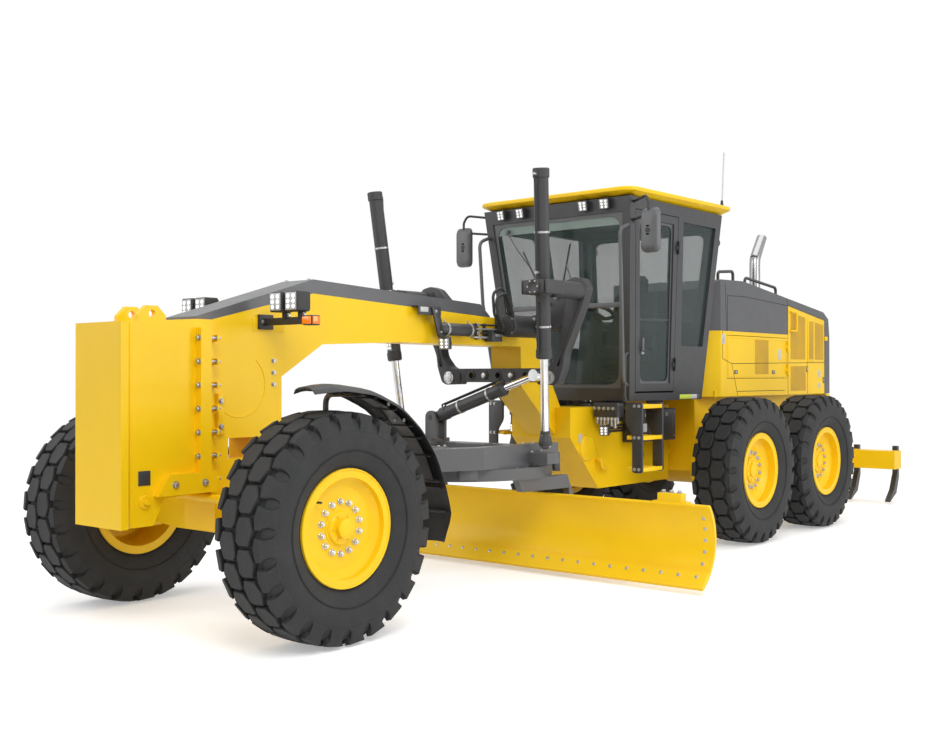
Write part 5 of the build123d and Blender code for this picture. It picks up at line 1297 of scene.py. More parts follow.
def make_cab_fittings():
    maker = Maker()
    # Dark surrounds with round corners inside the front and rear openings.
    front = [at(x, cab_front_y(z) + 17, z) for x, z in ((-600, 1500), (-740, 3070), (740, 3070), (600, 1500))]
    band_frame(maker, front, 0.034, (0, -1, -0.12), 0.004, 0, 0.12)
    maker.brick(at(-655, cab_front_y(2262) - 6, 2230), at(655, cab_front_y(2262) + 20, 2276), 0, 0.005)
    rear = [at(x, cab_rear_y(z) - 17, z) for x, z in ((-600, 2150), (-690, 3050), (690, 3050), (600, 2150))]
    band_frame(maker, rear, 0.03, (0, 1, -0.08), 0.004, 0, 0.1)
    # The lighter band across the top of the windshield.
    band = [at(x, cab_front_y(z) + 21, z) for x, z in ((-722, 2960), (722, 2960), (732, 3062), (-732, 3062))]
    maker.prism(band, Y_WAY * 0.002, 5, 0)
    # Wipers: one hangs from the top, one stands on the divider.
    for pivot, tip, blade_a, blade_b in (((-560, 2990), (-330, 2640), (-400, 2790), (-250, 2470)),
                                         ((250, 2290), (90, 2650), (20, 2420), (150, 2830))):
        p = at(pivot[0], cab_front_y(pivot[1]) - 18, pivot[1])
        t = at(tip[0], cab_front_y(tip[1]) - 2, tip[1])
        maker.rod(p + Y_WAY * 0.03, p - Y_WAY * 0.012, 0.02, 0, 14)
        maker.tube([p, (p + t) / 2 - Y_WAY * 0.02, t], 0.006, 0, 8, 0.1)
        a = at(blade_a[0], cab_front_y(blade_a[1]) + 8, blade_a[1])
        b = at(blade_b[0], cab_front_y(blade_b[1]) + 8, blade_b[1])
        maker.tube([a, b], 0.008, 1, 6, 0)
    # Work lamps under the roof's front edge.
    for x, tilt in ((-590, -0.12), (-360, -0.05), (360, 0.05), (590, 0.12)):
        led_lamp(maker, at(x, 3712, 3140), (tilt, -1, -0.22), 0.095, 1, 2, 3)
        maker.brick(at(x - 12, 3735, 3165), at(x + 12, 3770, 3200), 1, 0.003)
    for x in (-430, 430):
        led_lamp(maker, at(x, 5478, 3110), (0, 1, -0.3), 0.095, 1, 2, 3)
        maker.brick(at(x - 12, 5440, 3120), at(x + 12, 5475, 3150), 1, 0.003)
    for s in (1, -1):
        # Grab rail in front of each corner post.
        rail = [at(s * (cab_side_x(2950) - 20), cab_front_y(2950), 2950), at(s * 800, 3650, 2900),
                at(s * 790, 3690, 2300), at(s * 735, 3800, 1560),
                at(s * (cab_side_x(1530) - 25), cab_front_y(1530), 1530)]
        maker.tube(rail, 0.0165, 0, 12, 0.12)
        # The strip on the sill, with its two bare plates.
        maker.brick(at(s * 668, 4950, 1392), at(s * 684, 5240, 1436), 0, 0.002)
        maker.brick(at(s * 681, 4870, 1392), at(s * 686, 5085, 1434), 6, 0.001)
        maker.brick(at(s * 681, 5089, 1392), at(s * 686, 5195, 1434), 7, 0.001)
        # Rear corner lamp and the round amber lamp above it.
        maker.brick(at(s * 700, 5432, 2780), at(s * 770, 5462, 2900), 1, 0.01)
        maker.rod(at(s * 735, 5445, 2940), at(s * 735, 5500, 2940), 0.045, 1, 20)
        maker.turned(at(s * 735, 5500, 2940), Y_WAY, ((0, 47), (8, 44), (10, 30), (10, 0)), 20, 4)
    maker.piece("cab_fittings", "front",
                ("charcoal", "plastic", "lens", "led", "amber", "sunband", "label", "blank"))

    # Fittings under the cab's front: valve ports, pipes and a lamp on each side.
    low = Maker()
    for s in (1, -1):
        low.brick(at(s * 360, 3880, 1240), at(s * 620, 3990, 1372), 0, 0.008)
        for k in range(6):
            for j in range(2):
                spot = at(s * (390 + 38 * k), 3905 + 40 * j, 1242)
                low.rod(spot, spot - Z_WAY * 0.03, 0.0165, 1, 6)
                low.rod(spot - Z_WAY * 0.03, spot - Vector((0, 0, 0.06 + 0.02 * ((k + j) % 3))), 0.0115, 1, 12)
        for k in range(5):
            spot = at(s * (380 + 50 * k), 3878, 1320)
            low.turned(spot, -Y_WAY, ((-4, 16), (12, 16), (14, 10), (14, 0)), 14, 1)
        for k in range(3):
            z = 1180 - 26 * k
            low.tube([at(s * (400 + 40 * k), 3930, z), at(s * (400 + 40 * k), 3980, z - 30),
                      at(s * 345, 4080, z - 30), at(s * 345, 4390, z - 30)], 0.010, 2, 10, 0.05)
        led_lamp(low, at(s * 520, 3810, 1120), (s * 0.25, -1, -0.1), 0.088, 3, 4, 5)
        low.tube([at(s * 520, 3850, 1120), at(s * 520, 3900, 1140), at(s * 520, 3920, 1250)], 0.01, 3, 8, 0.03)
        near, far = sorted((s * 330, s * 333))
        low.brick(at(near, 3690, 1010), at(far, 3745, 1090), 6, 0.0005)
        low.turned(at(s * LEG_X, 3820, 960), X_WAY * s, ((-5, 120), (12, 118), (20, 108), (24, 90), (24, 0)),
                   44, 7)
        low.tube([at(s * 325, 3960, 850), at(s * 386, 3960, 850), at(s * 386, 3980, 775),
                  at(s * 386, 4070, 765), at(s * 325, 4090, 770)], 0.017, 7, 12, 0.03)
        for k in range(3):
            low.tube([at(s * (360 + 34 * k), 4390, 1250 - 40 * k), at(s * (360 + 34 * k), 4380, 1345),
                      at(s * (350 + 34 * k), 4250, 1366), at(s * (350 + 34 * k), 4100, 1366)], 0.012, 2, 10,
                     0.05)
            low.tube([at(s * (370 + 30 * k), 5140, 1200 - 50 * k), at(s * (370 + 30 * k), 5215, 1200 - 50 * k),
                      at(s * 345, 5255, 1120 - 50 * k)], 0.013, 2, 10, 0.05)
        for y, z in ((4640, 850), (4700, 850), (4760, 850), (5050, 850), (5110, 850)):
            low.bolt(at(s * LEG_X, y, z), (s, 0, 0), 0.013, 1)
    low.piece("port_cluster", "front", ("black", "zinc", "hose", "plastic", "lens", "led", "blank", "yellow"))


def make_mirrors():
    maker = Maker()
    for z, reach_z in ((3150, 3178), (2990, 3010)):
        maker.tube([at(812, 3842, z), at(1020, 3730, reach_z), at(1052, 3712, reach_z - 70),
                    at(1052, 3712, 2700)],
                   0.0115, 0, 12, 0.06)
        maker.turned(at(800, 3848, z), (0.86, -0.5, 0.05), ((0, 0), (0, 30), (20, 28), (24, 12.5)), 18)
    # The head: a rounded shell round a mirror that faces back.
    head = [at(972, 3752, z) for z in (2685, 3058)] + [at(1150, 3752, z) for z in (3058, 2685)]
    head = rounded_loop(head, 0.05)
    rows = []
    for depth, grow in ((0.0, 0.0), (0.006, 0.006), (0.03, 0.002), (0.05, -0.02), (0.056, -0.05)):
        middle = sum(head, Vector()) / len(head)
        rows.append([p + (p - middle).normalized() * grow - Vector((0, depth, 0)) for p in head])
    loops = [[maker.bm.verts.new(p) for p in row] for row in rows]
    maker.join(loops, 1)
    maker.bm.faces.new(loops[0]).material_index = 2
    maker.bm.faces.new(loops[-1]).material_index = 1
    maker.rod(at(1052, 3690, 2870), at(1052, 3730, 2870), 0.022, 0, 16)
    for z in (2835, 2905):
        maker.brick(at(1034, 3696, z - 10), at(1070, 3726, z + 10), 0, 0.003)
    maker.mirror()
    obj = maker.piece("mirror_heads", "front", ("plastic", "charcoal", "mirror"))
    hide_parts("mirrors")


def make_door_fittings():
    for side, s in SIDES:
        maker = Maker()
        corners = [at(s * (cab_side_x(z) - 19), y, z)
                   for y, z in ((4145, 1542), (3945, 3020), (4540, 3020), (4670, 1542))]
        band_frame(maker, corners, 0.022, (s, 0, -0.08), 0.004, 0)
        rail_x = cab_side_x(2130)
        maker.tube([at(s * (rail_x - 30), 4075, 2130), at(s * (rail_x - 75), 4100, 2130),
                    at(s * (rail_x - 75), 4560, 2136), at(s * (rail_x - 30), 4600, 2136)], 0.0125, 0, 12, 0.05)
        z = 1900
        maker.brick(at(s * (cab_side_x(z) - 4), 4108, z - 60), at(s * (cab_side_x(z) + 22), 4136, z + 60), 0,
                    0.006)
        maker.rod(at(s * (cab_side_x(z) + 4), 4122, z - 85), at(s * (cab_side_x(z) + 12), 4122, z - 70),
                  0.016, 1, 16)
        maker.piece(f"door_dressing_{side}", f"door_{side}", ("charcoal", "zinc"))


def cushion(maker, low, high, crown, seam, rows=13):
    """A crowned pad: a rounded box with a puffed top, stitched grooves and a welt round its edge."""
    low, high = Vector(low), Vector(high)
    size = high - low
    bm = maker.bm
    top = []
    for i in range(rows):
        line = []
        for j in range(rows):
            u, v = i / (rows - 1) * 2 - 1, j / (rows - 1) * 2 - 1
            puff = (1 - u ** 4) * (1 - v ** 4)
            groove = math.exp(-((abs(u) - 0.52) / 0.045) ** 2) * seam * (1 - v ** 6)
            groove += math.exp(-((v - 0.05) / 0.05) ** 2) * seam * 0.7 * (1 - u ** 6)
            x = low.x + size.x * (u * (1 - 0.04 * abs(v) ** 3) + 1) / 2
            y = low.y + size.y * (v * (1 - 0.04 * abs(u) ** 3) + 1) / 2
            line.append(Vector((x, y, high.z - crown + puff * crown - groove)))
        top.append(line)
    grid = [[bm.verts.new(p) for p in line] for line in top]
    for i in range(rows - 1):
        for j in range(rows - 1):
            bm.faces.new((grid[i][j], grid[i + 1][j], grid[i + 1][j + 1], grid[i][j + 1]))
    border = ([(i, 0) for i in range(rows)] + [(rows - 1, j) for j in range(1, rows)]
              + [(i, rows - 1) for i in range(rows - 2, -1, -1)] + [(0, j) for j in range(rows - 2, 0, -1)])
    middle = (low + high) / 2
    last = [grid[i][j] for i, j in border]
    base = [grid[i][j].co.copy() for i, j in border]
    for drop, grow in ((0.012, 0.012), (0.03, 0.012), (size.z * 0.55, 0.010), (size.z * 0.85, 0.0),
                       (size.z, -0.02)):
        ring = []
        for p in base:
            flat = Vector((p.x - middle.x, p.y - middle.y, 0)).normalized()
            ring.append(bm.verts.new(Vector((p.x, p.y, high.z - crown - drop if drop < size.z else low.z))
                                     + flat * grow))
        maker.join((last, ring))
        last = ring
    bm.faces.new(last)


def make_seat():
    upright = Matrix.Translation(at(0, 5115, 2170)) @ Matrix.Rotation(math.radians(82), 4, 'X')
    headrest = Matrix.Translation(at(0, 5150, 2520)) @ Matrix.Rotation(math.radians(84), 4, 'X')
    for name, low, high, crown, stitch, rows, place, fill in (
            ("seat_cushion", at(-245, 4615, 1790), at(245, 5070, 1905), 0.035, 0.012, 13, None, 0.75),
            ("seat_back", (-0.235, -0.28, -0.06), (0.235, 0.28, 0.05), 0.035, 0.012, 13, upright, 0.75),
            ("seat_headrest", (-0.13, -0.08, -0.04), (0.13, 0.08, 0.04), 0.03, 0.004, 9, headrest, 0.8)):
        pad = Maker()
        cushion(pad, low, high, crown, stitch, rows)
        if place is not None:
            pad.bm.transform(place)
        obj = pad.piece(name, "front", ("cloth",), smooth=60)
        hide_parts("seat")
        add_softness(obj)
    base = Maker()
    base.brick(at(-170, 4740, 1449), at(170, 5000, 1530), 0, 0.02, 3)
    for k in range(5):
        inset = 6 + (k % 2) * 14
        base.brick(at(-150 + inset, 4750 + inset, 1530 + k * 40), at(150 - inset, 4990 - inset, 1570 + k * 40),
                   1, 0.01)
    base.brick(at(-215, 4650, 1730), at(215, 5060, 1792), 0, 0.015, 3)
    base.brick(at(-200, 5165, 1900), at(200, 5190, 2380), 0, 0.02, 3)
    for s in (-1, 1):
        base.tube([at(s * 60, 5170, 2380), at(s * 60, 5165, 2470)], 0.008, 2, 10, 0)
        base.brick(at(s * 265, 4700, 2030), at(s * 335, 5080, 2075), 0, 0.02, 3)
        base.brick(at(s * 285, 5010, 1790), at(s * 315, 5060, 2040), 0, 0.01, 2)
        base.rod(at(s * 300, 4740, 2070), at(s * 300, 4735, 2150), 0.014, 0, 12)
        base.turned(at(s * 300, 4735, 2150), Z_WAY, ((0, 14), (10, 24), (35, 26), (50, 12), (52, 0)), 16)
    frame_piece = base.piece("seat_base", "front", ("plastic", "hose", "zinc"))
    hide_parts("seat")


def add_softness(obj):
    smooth = obj.modifiers.new("round", 'SUBSURF')
    smooth.levels = 1
    smooth.render_levels = 2


def make_roof_fittings():
    maker = Maker()
    # The thin lip round the roof, the raised middle and the aerial's sleeve.
    lip = [at(-872, 3760, 3202), at(-772, 3703, 3202), at(772, 3703, 3202), at(872, 3760, 3202),
           at(872, 5570, 3202), at(793, 5627, 3202), at(-793, 5627, 3202), at(-872, 5570, 3202)]
    middle = at(0, 4665, 3202)
    rows = [(-0.085, 0.0), (-0.08, -0.001), (-0.012, 0.050), (-0.001, 0.058), (0.0, 0.064), (-0.001, 0.086),
            (-0.009, 0.094), (-0.05, 0.100), (-0.2, 0.104), (-0.40, 0.106)]
    rings = []
    for grow, height in rows:
        ring = []
        for p in lip:
            d = p - middle
            scale = Vector(((abs(d.x) + grow) / abs(d.x), (abs(d.y) + grow * 1.3) / abs(d.y)))
            fall = 0.016 * max(0.0, (-d.y) / 0.96) ** 2 if height > 0.03 else 0.0
            ring.append(Vector((d.x * scale.x, middle.y + d.y * scale.y, p.z + height - fall)))
        rings.append(ring)
    loops = [[maker.bm.verts.new(p) for p in rounded_loop(ring, 0.05, 3)] for ring in rings]
    maker.join(loops)
    maker.bm.faces.new(loops[-1])
    maker.bm.faces.new(loops[0][::-1])
    for x in (-380, -120, 160, 420):
        maker.turned(at(x, 3900, 3292), Z_WAY, ((0, 12), (6, 12), (8, 6), (8, 0)), 10, 1)
    maker.tube([at(780, 5540, 3302), at(789, 5569, 3850)], 0.0076, 2, 10, 0)
    maker.turned(at(780, 5540, 3296), Z_WAY, ((0, 32), (12, 30), (20, 16), (70, 12), (70, 0)), 18, 1)
    obj = maker.piece("roof_skin", "front", ("yellow", "plastic", "steel"), smooth=30)
    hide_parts("cab_roof")


# Hood
HOOD_X = 650


def two_tone_group():
    """A mask over the hood: one where the lighter colour goes, by place along and up the machine."""
    group, enter, leave = new_group(
        "hood_split",
        [("Belt", "NodeSocketFloat", 2.075), ("Sweep", "NodeSocketFloat", 2.9),
         ("Corner", "NodeSocketFloat", 3.9)],
        [("Mask", "NodeSocketFloat")])
    coords = group.nodes.new("ShaderNodeTexCoord")
    split = group.nodes.new("ShaderNodeSeparateXYZ")
    group.links.new(coords.outputs["Object"], split.inputs[0])
    y, z = split.outputs["Y"], split.outputs["Z"]
    below = combine(group, z, enter.outputs["Belt"], 'LESS_THAN')
    behind = combine(group, y, enter.outputs["Sweep"], 'GREATER_THAN')
    fall = combine(group, combine(group, y, enter.outputs["Sweep"], 'SUBTRACT'), 0.134, 'MULTIPLY')
    line = combine(group, 2.405, fall, 'SUBTRACT')
    swept = combine(group, behind, combine(group, z, line, 'LESS_THAN'), 'MULTIPLY')
    ahead = combine(group, y, enter.outputs["Corner"], 'LESS_THAN')
    mask = combine(group, combine(group, below, swept, 'MAXIMUM'), ahead, 'MULTIPLY')
    group.links.new(mask, leave.inputs["Mask"])
    return group


def two_tone(name):
    """The hood's paint: yellow below the belt and in the rear sweep, dark elsewhere."""
    material = skin(name, colour_of("body_yellow"), "coat", (("Gloss", 0.4), ("Dust", 0.03)), coat=0.08,
                    shine=0.3)
    tree = material.node_tree
    shader = tree.nodes["Principled BSDF"]
    dark = effect_node(tree, "coat", colour_of("dark_grey"), (("Gloss", 0.42), ("Dust", 0.1)))
    where = tree.nodes.new("ShaderNodeGroup")
    where.node_tree = two_tone_group()
    where.inputs["Sweep"].default_value = AXLE_LEFT.y + 7.33
    where.inputs["Corner"].default_value = AXLE_LEFT.y + 8.33
    light = next(n for n in tree.nodes if n.type == 'GROUP' and n not in (dark, where))
    mixed = blend_colours(tree, where.outputs["Mask"], dark.outputs["Colour"], light.outputs["Colour"])
    tree.links.new(mixed, shader.inputs["Base Color"])
    return material


def seam(maker, points):
    """A thin dark line along a side panel through (y, z) stations, on the hood's left face."""
    half_width, sunk, proud = 0.00275, 0.002, 0.0012
    for (y0, z0), (y1, z1) in zip(points, points[1:]):
        a = at(HOOD_X, y0, z0)
        b = at(HOOD_X, y1, z1)
        way = (b - a).normalized()
        off = Vector((0, -way.z, way.y)) * half_width
        loop = [a - off, b - off, b + off, a + off]
        maker.prism([p - X_WAY * sunk for p in loop], X_WAY * (sunk + proud))


def field(maker, y0, y1, z0, z1, z2):
    """A perforated field with a level foot and a sloping head, on the hood's side, in a darker tone that paints
    the shade in its holes.
    """
    loop = [at(HOOD_X - 1, y, z) for y, z in ((y0, z0), (y1, z0), (y1, z2), (y0, z1))]
    maker.prism(loop, X_WAY * 0.0022, 5)


def make_hood_fittings():
    maker = Maker()
    # Panel seams: the belt, the front corner, the two rear columns and the lower covers.
    for line in ([(7330, 1402), (7330, 2402)], [(7330, 2404), (8330, 2274)], [(8330, 1402), (8330, 2274)],
                 [(7850, 1402), (7850, 1770)], [(5790, 2075), (5790, 1790), (5990, 1740), (6120, 1404)],
                 [(5990, 1740), (8330, 1770)], [(5880, 2075), (5850, 2560)],
                 [(5900, 2080), (5900, 2440), (6260, 2450), (7330, 2402), (7300, 2480)],
                 [(6100, 1450), (7240, 1450)]):
        seam(maker, line)
    # Perforated fields, the pressed cover between them and the lower field; the fields and the cover's inset
    # take a darker tone, painted shade for the holes.
    field(maker, 7400, 7790, 1800, 2330, 2285)
    field(maker, 8060, 8300, 1800, 2240, 2215)
    field(maker, 7400, 7800, 1440, 1720, 1725)
    maker.brick(at(HOOD_X - 1, 7850, 1780), at(HOOD_X + 9, 8020, 2270), 1, 0.004)
    maker.brick(at(HOOD_X + 5, 7874, 1804), at(HOOD_X + 10.5, 7996, 2246), 5, 0.001)
    # The handle's loop, the latches, the hinge at the rear corner and the blank plates.
    loop = ((-4, 7380, 2120), (30, 7380, 2120), (30, 7500, 2120), (30, 7500, 2330), (30, 7380, 2340),
            (-4, 7380, 2340))
    maker.tube([at(HOOD_X + x, y, z) for x, y, z in loop], 0.011, 1, 12, 0.03)
    for y, z in ((7840, 1690), (8300, 1560)):
        maker.brick(at(HOOD_X - 1, y - 20, z - 34), at(HOOD_X + 5, y + 20, z + 34), 2, 0.003)
        maker.brick(at(HOOD_X + 4, y - 11, z - 22), at(HOOD_X + 7, y + 11, z + 20), 3, 0.002)
    maker.brick(at(HOOD_X - 2, 8330, 2030), at(HOOD_X + 14, 8400, 2080), 1, 0.005)
    for y, z, w, h in ((5810, 1990, 70, 100), (8180, 1640, 60, 90), (8180, 1500, 60, 60)):
        maker.brick(at(HOOD_X - 1, y - w / 2, z - h / 2), at(HOOD_X + 1.6, y + w / 2, z + h / 2), 4, 0.0005)
        maker.brick(at(HOOD_X, y - w / 5, z - h / 4), at(HOOD_X + 2.2, y + w / 5, z + h / 4), 3, 0.0005)
    maker.mirror()
    maker.piece("hood_fittings", "rear", ("hollow", "yellow", "black", "zinc", "blank", "screen"))

    back = Maker()
    # The rear face: a louvred grille in a frame over a near-black sheet of painted shade, lamps and the hitch
    # plate.
    y = 8480
    back.brick(at(-520, y - 2, 1500), at(520, y + 6, 2190), 2, 0.004)
    for k in range(21):
        z = 1530 + k * 31
        loop = [at(-495, y + 4, z), at(-495, y + 26, z + 4), at(-495, y + 26, z + 8), at(-495, y + 4, z + 20)]
        back.prism(loop, X_WAY * 0.99, 1)
    # Painted shade: a near-black sheet just behind the louvres stands for the dark inside the grille.
    back.brick(at(-495, y + 5, 1515), at(495, y + 6.5, 2175), 0, 0.0)
    for x in (-250, 0, 250):
        back.brick(at(x - 12, y + 4, 1512), at(x + 12, y + 30, 2180), 2, 0.003)
    for s in (-1, 1):
        low, high = sorted((s * 545, s * 620))
        back.brick(at(low, y - 2, 1900), at(high, y + 24, 2110), 2, 0.008)
        back.brick(at(low + 8, y + 22, 2012), at(high - 8, y + 28, 2100), 3, 0.003)
        back.brick(at(low + 8, y + 22, 1910), at(high - 8, y + 28, 2002), 4, 0.003)
        for z in (1560, 1700):
            back.bolt(at(s * 585, y, z), Y_WAY, 0.012, 5)
    back.brick(at(-160, 8600, 1150), at(160, 8612, 1330), 1, 0.004)
    back.rod(at(0, 8610, 1240), at(0, 8650, 1240), 0.06, 1, 28)
    back.piece("rear_grille", "rear", ("hollow", "charcoal", "black", "red", "amber", "zinc"))


def make_service_doors():
    for side, sign in SIDES:
        maker = Maker()
        x = HOOD_X
        # A pressed rib round the door, its punched vent in a darker tone of painted shade for the holes,
        # latches and a blank label.
        for y0, y1, z0, z1 in ((5910, 7280, 1606, 1612), (5910, 7280, 2008, 2014), (5908, 5914, 1606, 2014),
                               (7276, 7282, 1606, 2014)):
            maker.brick(at(x - 1, y0, z0), at(x + 3, y1, z1), 1, 0.0015)
        field(maker, 6520, 6840, 1630, 2000, 2000)
        for y in (6080, 6960):
            maker.brick(at(x - 1, y - 34, 1632), at(x + 5, y + 34, 1672), 2, 0.004)
            maker.brick(at(x + 4, y - 20, 1640), at(x + 9, y + 8, 1664), 3, 0.002)
        maker.brick(at(x, 7075, 1795), at(x + 1.6, 7145, 1905), 4, 0.0005)
        if sign < 0:
            for v in maker.bm.verts:
                v.co.x = -v.co.x
        maker.piece(f"service_dressing_{side}", f"service_door_{side}",
                    ("hollow", "yellow", "black", "zinc", "blank", "screen"))


def make_exhaust():
    maker = Maker()
    route = [at(200, 7420, 2400), at(200, 7420, 2960), at(200, 7600, 3230)]
    outer = maker.tube(route, 0.062, 0, 36, 0.17, caps=False)
    # The inner wall is near-black: painted shade inside the stack.
    inner = maker.tube(route[1:], 0.0585, 1, 36, 0.0, caps=False)
    end_out, end_in = outer[-1], inner[-1]
    for ring in (end_out, end_in):
        for v in ring:
            v.co.y += (v.co.z - 3.23) * 0.5
    for k in range(36):
        m = (k + 1) % 36
        near = min(range(36), key=lambda i: (end_in[i].co - end_out[k].co).length)
        step = min(range(36), key=lambda i: (end_in[i].co - end_out[m].co).length)
        if near != step:
            maker.bm.faces.new((end_out[k], end_out[m], end_in[step], end_in[near]))
    maker.turned(at(200, 7420, 2400), Z_WAY,
                 ((0, 0), (0, 110), (20, 110), (30, 75), (90, 75), (100, 66), (100, 50)), 36, 2)
    maker.band(at(200, 7420, 2560), Z_WAY, 0.0, 0.062, 0.005, 0.02, 36, 3)
    maker.brick(at(258, 7408, 2556), at(286, 7432, 2584), 3, 0.003)
    obj = maker.piece("exhaust_stack", "rear", ("stack", "hollow", "charcoal", "steel"))
    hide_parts("exhaust")


def make_ladders():
    maker = Maker()
    for y in (3880, 4225):
        loop = [(772, 752), (878, 752), (878, 1378), (702, 1378), (702, 1190), (772, 1090)]
        maker.prism(rounded_loop([at(x, y, z) for x, z in loop], 0.03, 4), Y_WAY * 0.025, 0, 0.004)
        way = -1 if y < 4000 else 1
        face = y if y < 4000 else y + 25
        for z in (785, 1065, 1345):
            for x in (800, 845):
                maker.bolt(at(x, face, z), (0, way, 0), 0.011, 2)
    for z in (770, 1050, 1330):
        # Grip tread: a pan with rows of raised teeth.
        maker.brick(at(708, 3904, z), at(872, 4226, z + 22), 1, 0.004)
        for x in (704, 864):
            maker.brick(at(x, 3904, z - 6), at(x + 12, 4226, z + 30), 1, 0.003)
        for i in range(4):
            for j in range(9):
                maker.turned(at(732 + i * 38, 3928 + j * 34, z + 21), Z_WAY,
                             ((0, 13), (7, 9), (7, 6), (1, 5)), 10, 1)
    maker.brick(at(330.3, 4020, 1200), at(705, 4120, 1260), 0, 0.005)
    for x in (360, 420):
        maker.bolt(at(x, 4070, 1260), Z_WAY, 0.012, 2)
    maker.tube([at(712, 3892, 1370), at(716, 3850, 1420), at(720, 3850, 1800), at(690, 3960, 1830)], 0.014, 0,
               12, 0.05)
    maker.mirror()
    obj = maker.piece("step_ladders", "front", ("black", "yellow", "zinc"))
    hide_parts("ladders")


def make_side_boxes():
    maker = Maker()
    maker.brick(at(330.5, 4402, 985), at(478, 5148, 1298), 0, 0.012, 3)
    for y in (4420, 4790):
        maker.brick(at(477, y, 1010), at(482, y + 330, 1275), 0, 0.004)
        maker.brick(at(480, y + 150, 1225), at(486, y + 190, 1255), 1, 0.002)
        for dy in (18, 312):
            for z in (1030, 1255):
                maker.bolt(at(481, y + dy, z), X_WAY, 0.007, 1, washer=False)
    maker.brick(at(481, 4530, 1080), at(483, 4600, 1160), 2, 0.0005)
    maker.mirror()
    obj = maker.piece("side_boxes", "front", ("black", "zinc", "blank"))
    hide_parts("valve_boxes")


def make_ripper_fittings():
    maker = Maker()
    for x in (-1000, -500, 0, 500, 1000):
        for side in (-1, 1):
            maker.rod(at(x + side * 52, 9565, 552), at(x + side * 70, 9565, 552), 0.022, 0, 20)
            maker.brick(at(x + side * 60 - 7, 9520, 440), at(x + side * 60 + 7, 9620, 668), 1, 0.004)
    for x in (-430, 430):
        for side in (-1, 1):
            maker.turned(at(x + side * 30, 8790, 760), X_WAY * side, ((0, 55), (4, 55), (5, 40), (5, 0)), 28, 1)
    maker.piece("ripper_fittings", "ripper", ("zinc", "yellow"))


REAR_HUBS = (5389, 6931)


def make_tandem_fittings():
    for side, sign in SIDES:
        maker = Maker()
        for k in range(9):
            y = 5480 + k * 170
            maker.bolt(at(sign * 740, y, 930), Z_WAY, 0.014, 0)
        for y in REAR_HUBS:
            maker.bolt_circle(at(sign * 850, y, 705), X_WAY * sign, Y_WAY, Z_WAY, 0.18, 12, 0.011, 0, 0.5)
        maker.turned(at(sign * 740, 6160, 930), Z_WAY, ((-4, 70), (8, 70), (12, 60), (12, 0)), 32, 1)
        maker.piece(f"tandem_fittings_{side}", "rear", ("zinc", "yellow"))


def background_rays(tree):
    """One for the rays that show the background: the camera's, and those in metal and through glass."""
    path = tree.nodes.new("ShaderNodeLightPath")
    shown = combine(tree, path.outputs["Is Camera Ray"], path.outputs["Is Glossy Ray"], 'MAXIMUM')
    return combine(tree, shown, path.outputs["Is Transmission Ray"], 'MAXIMUM')


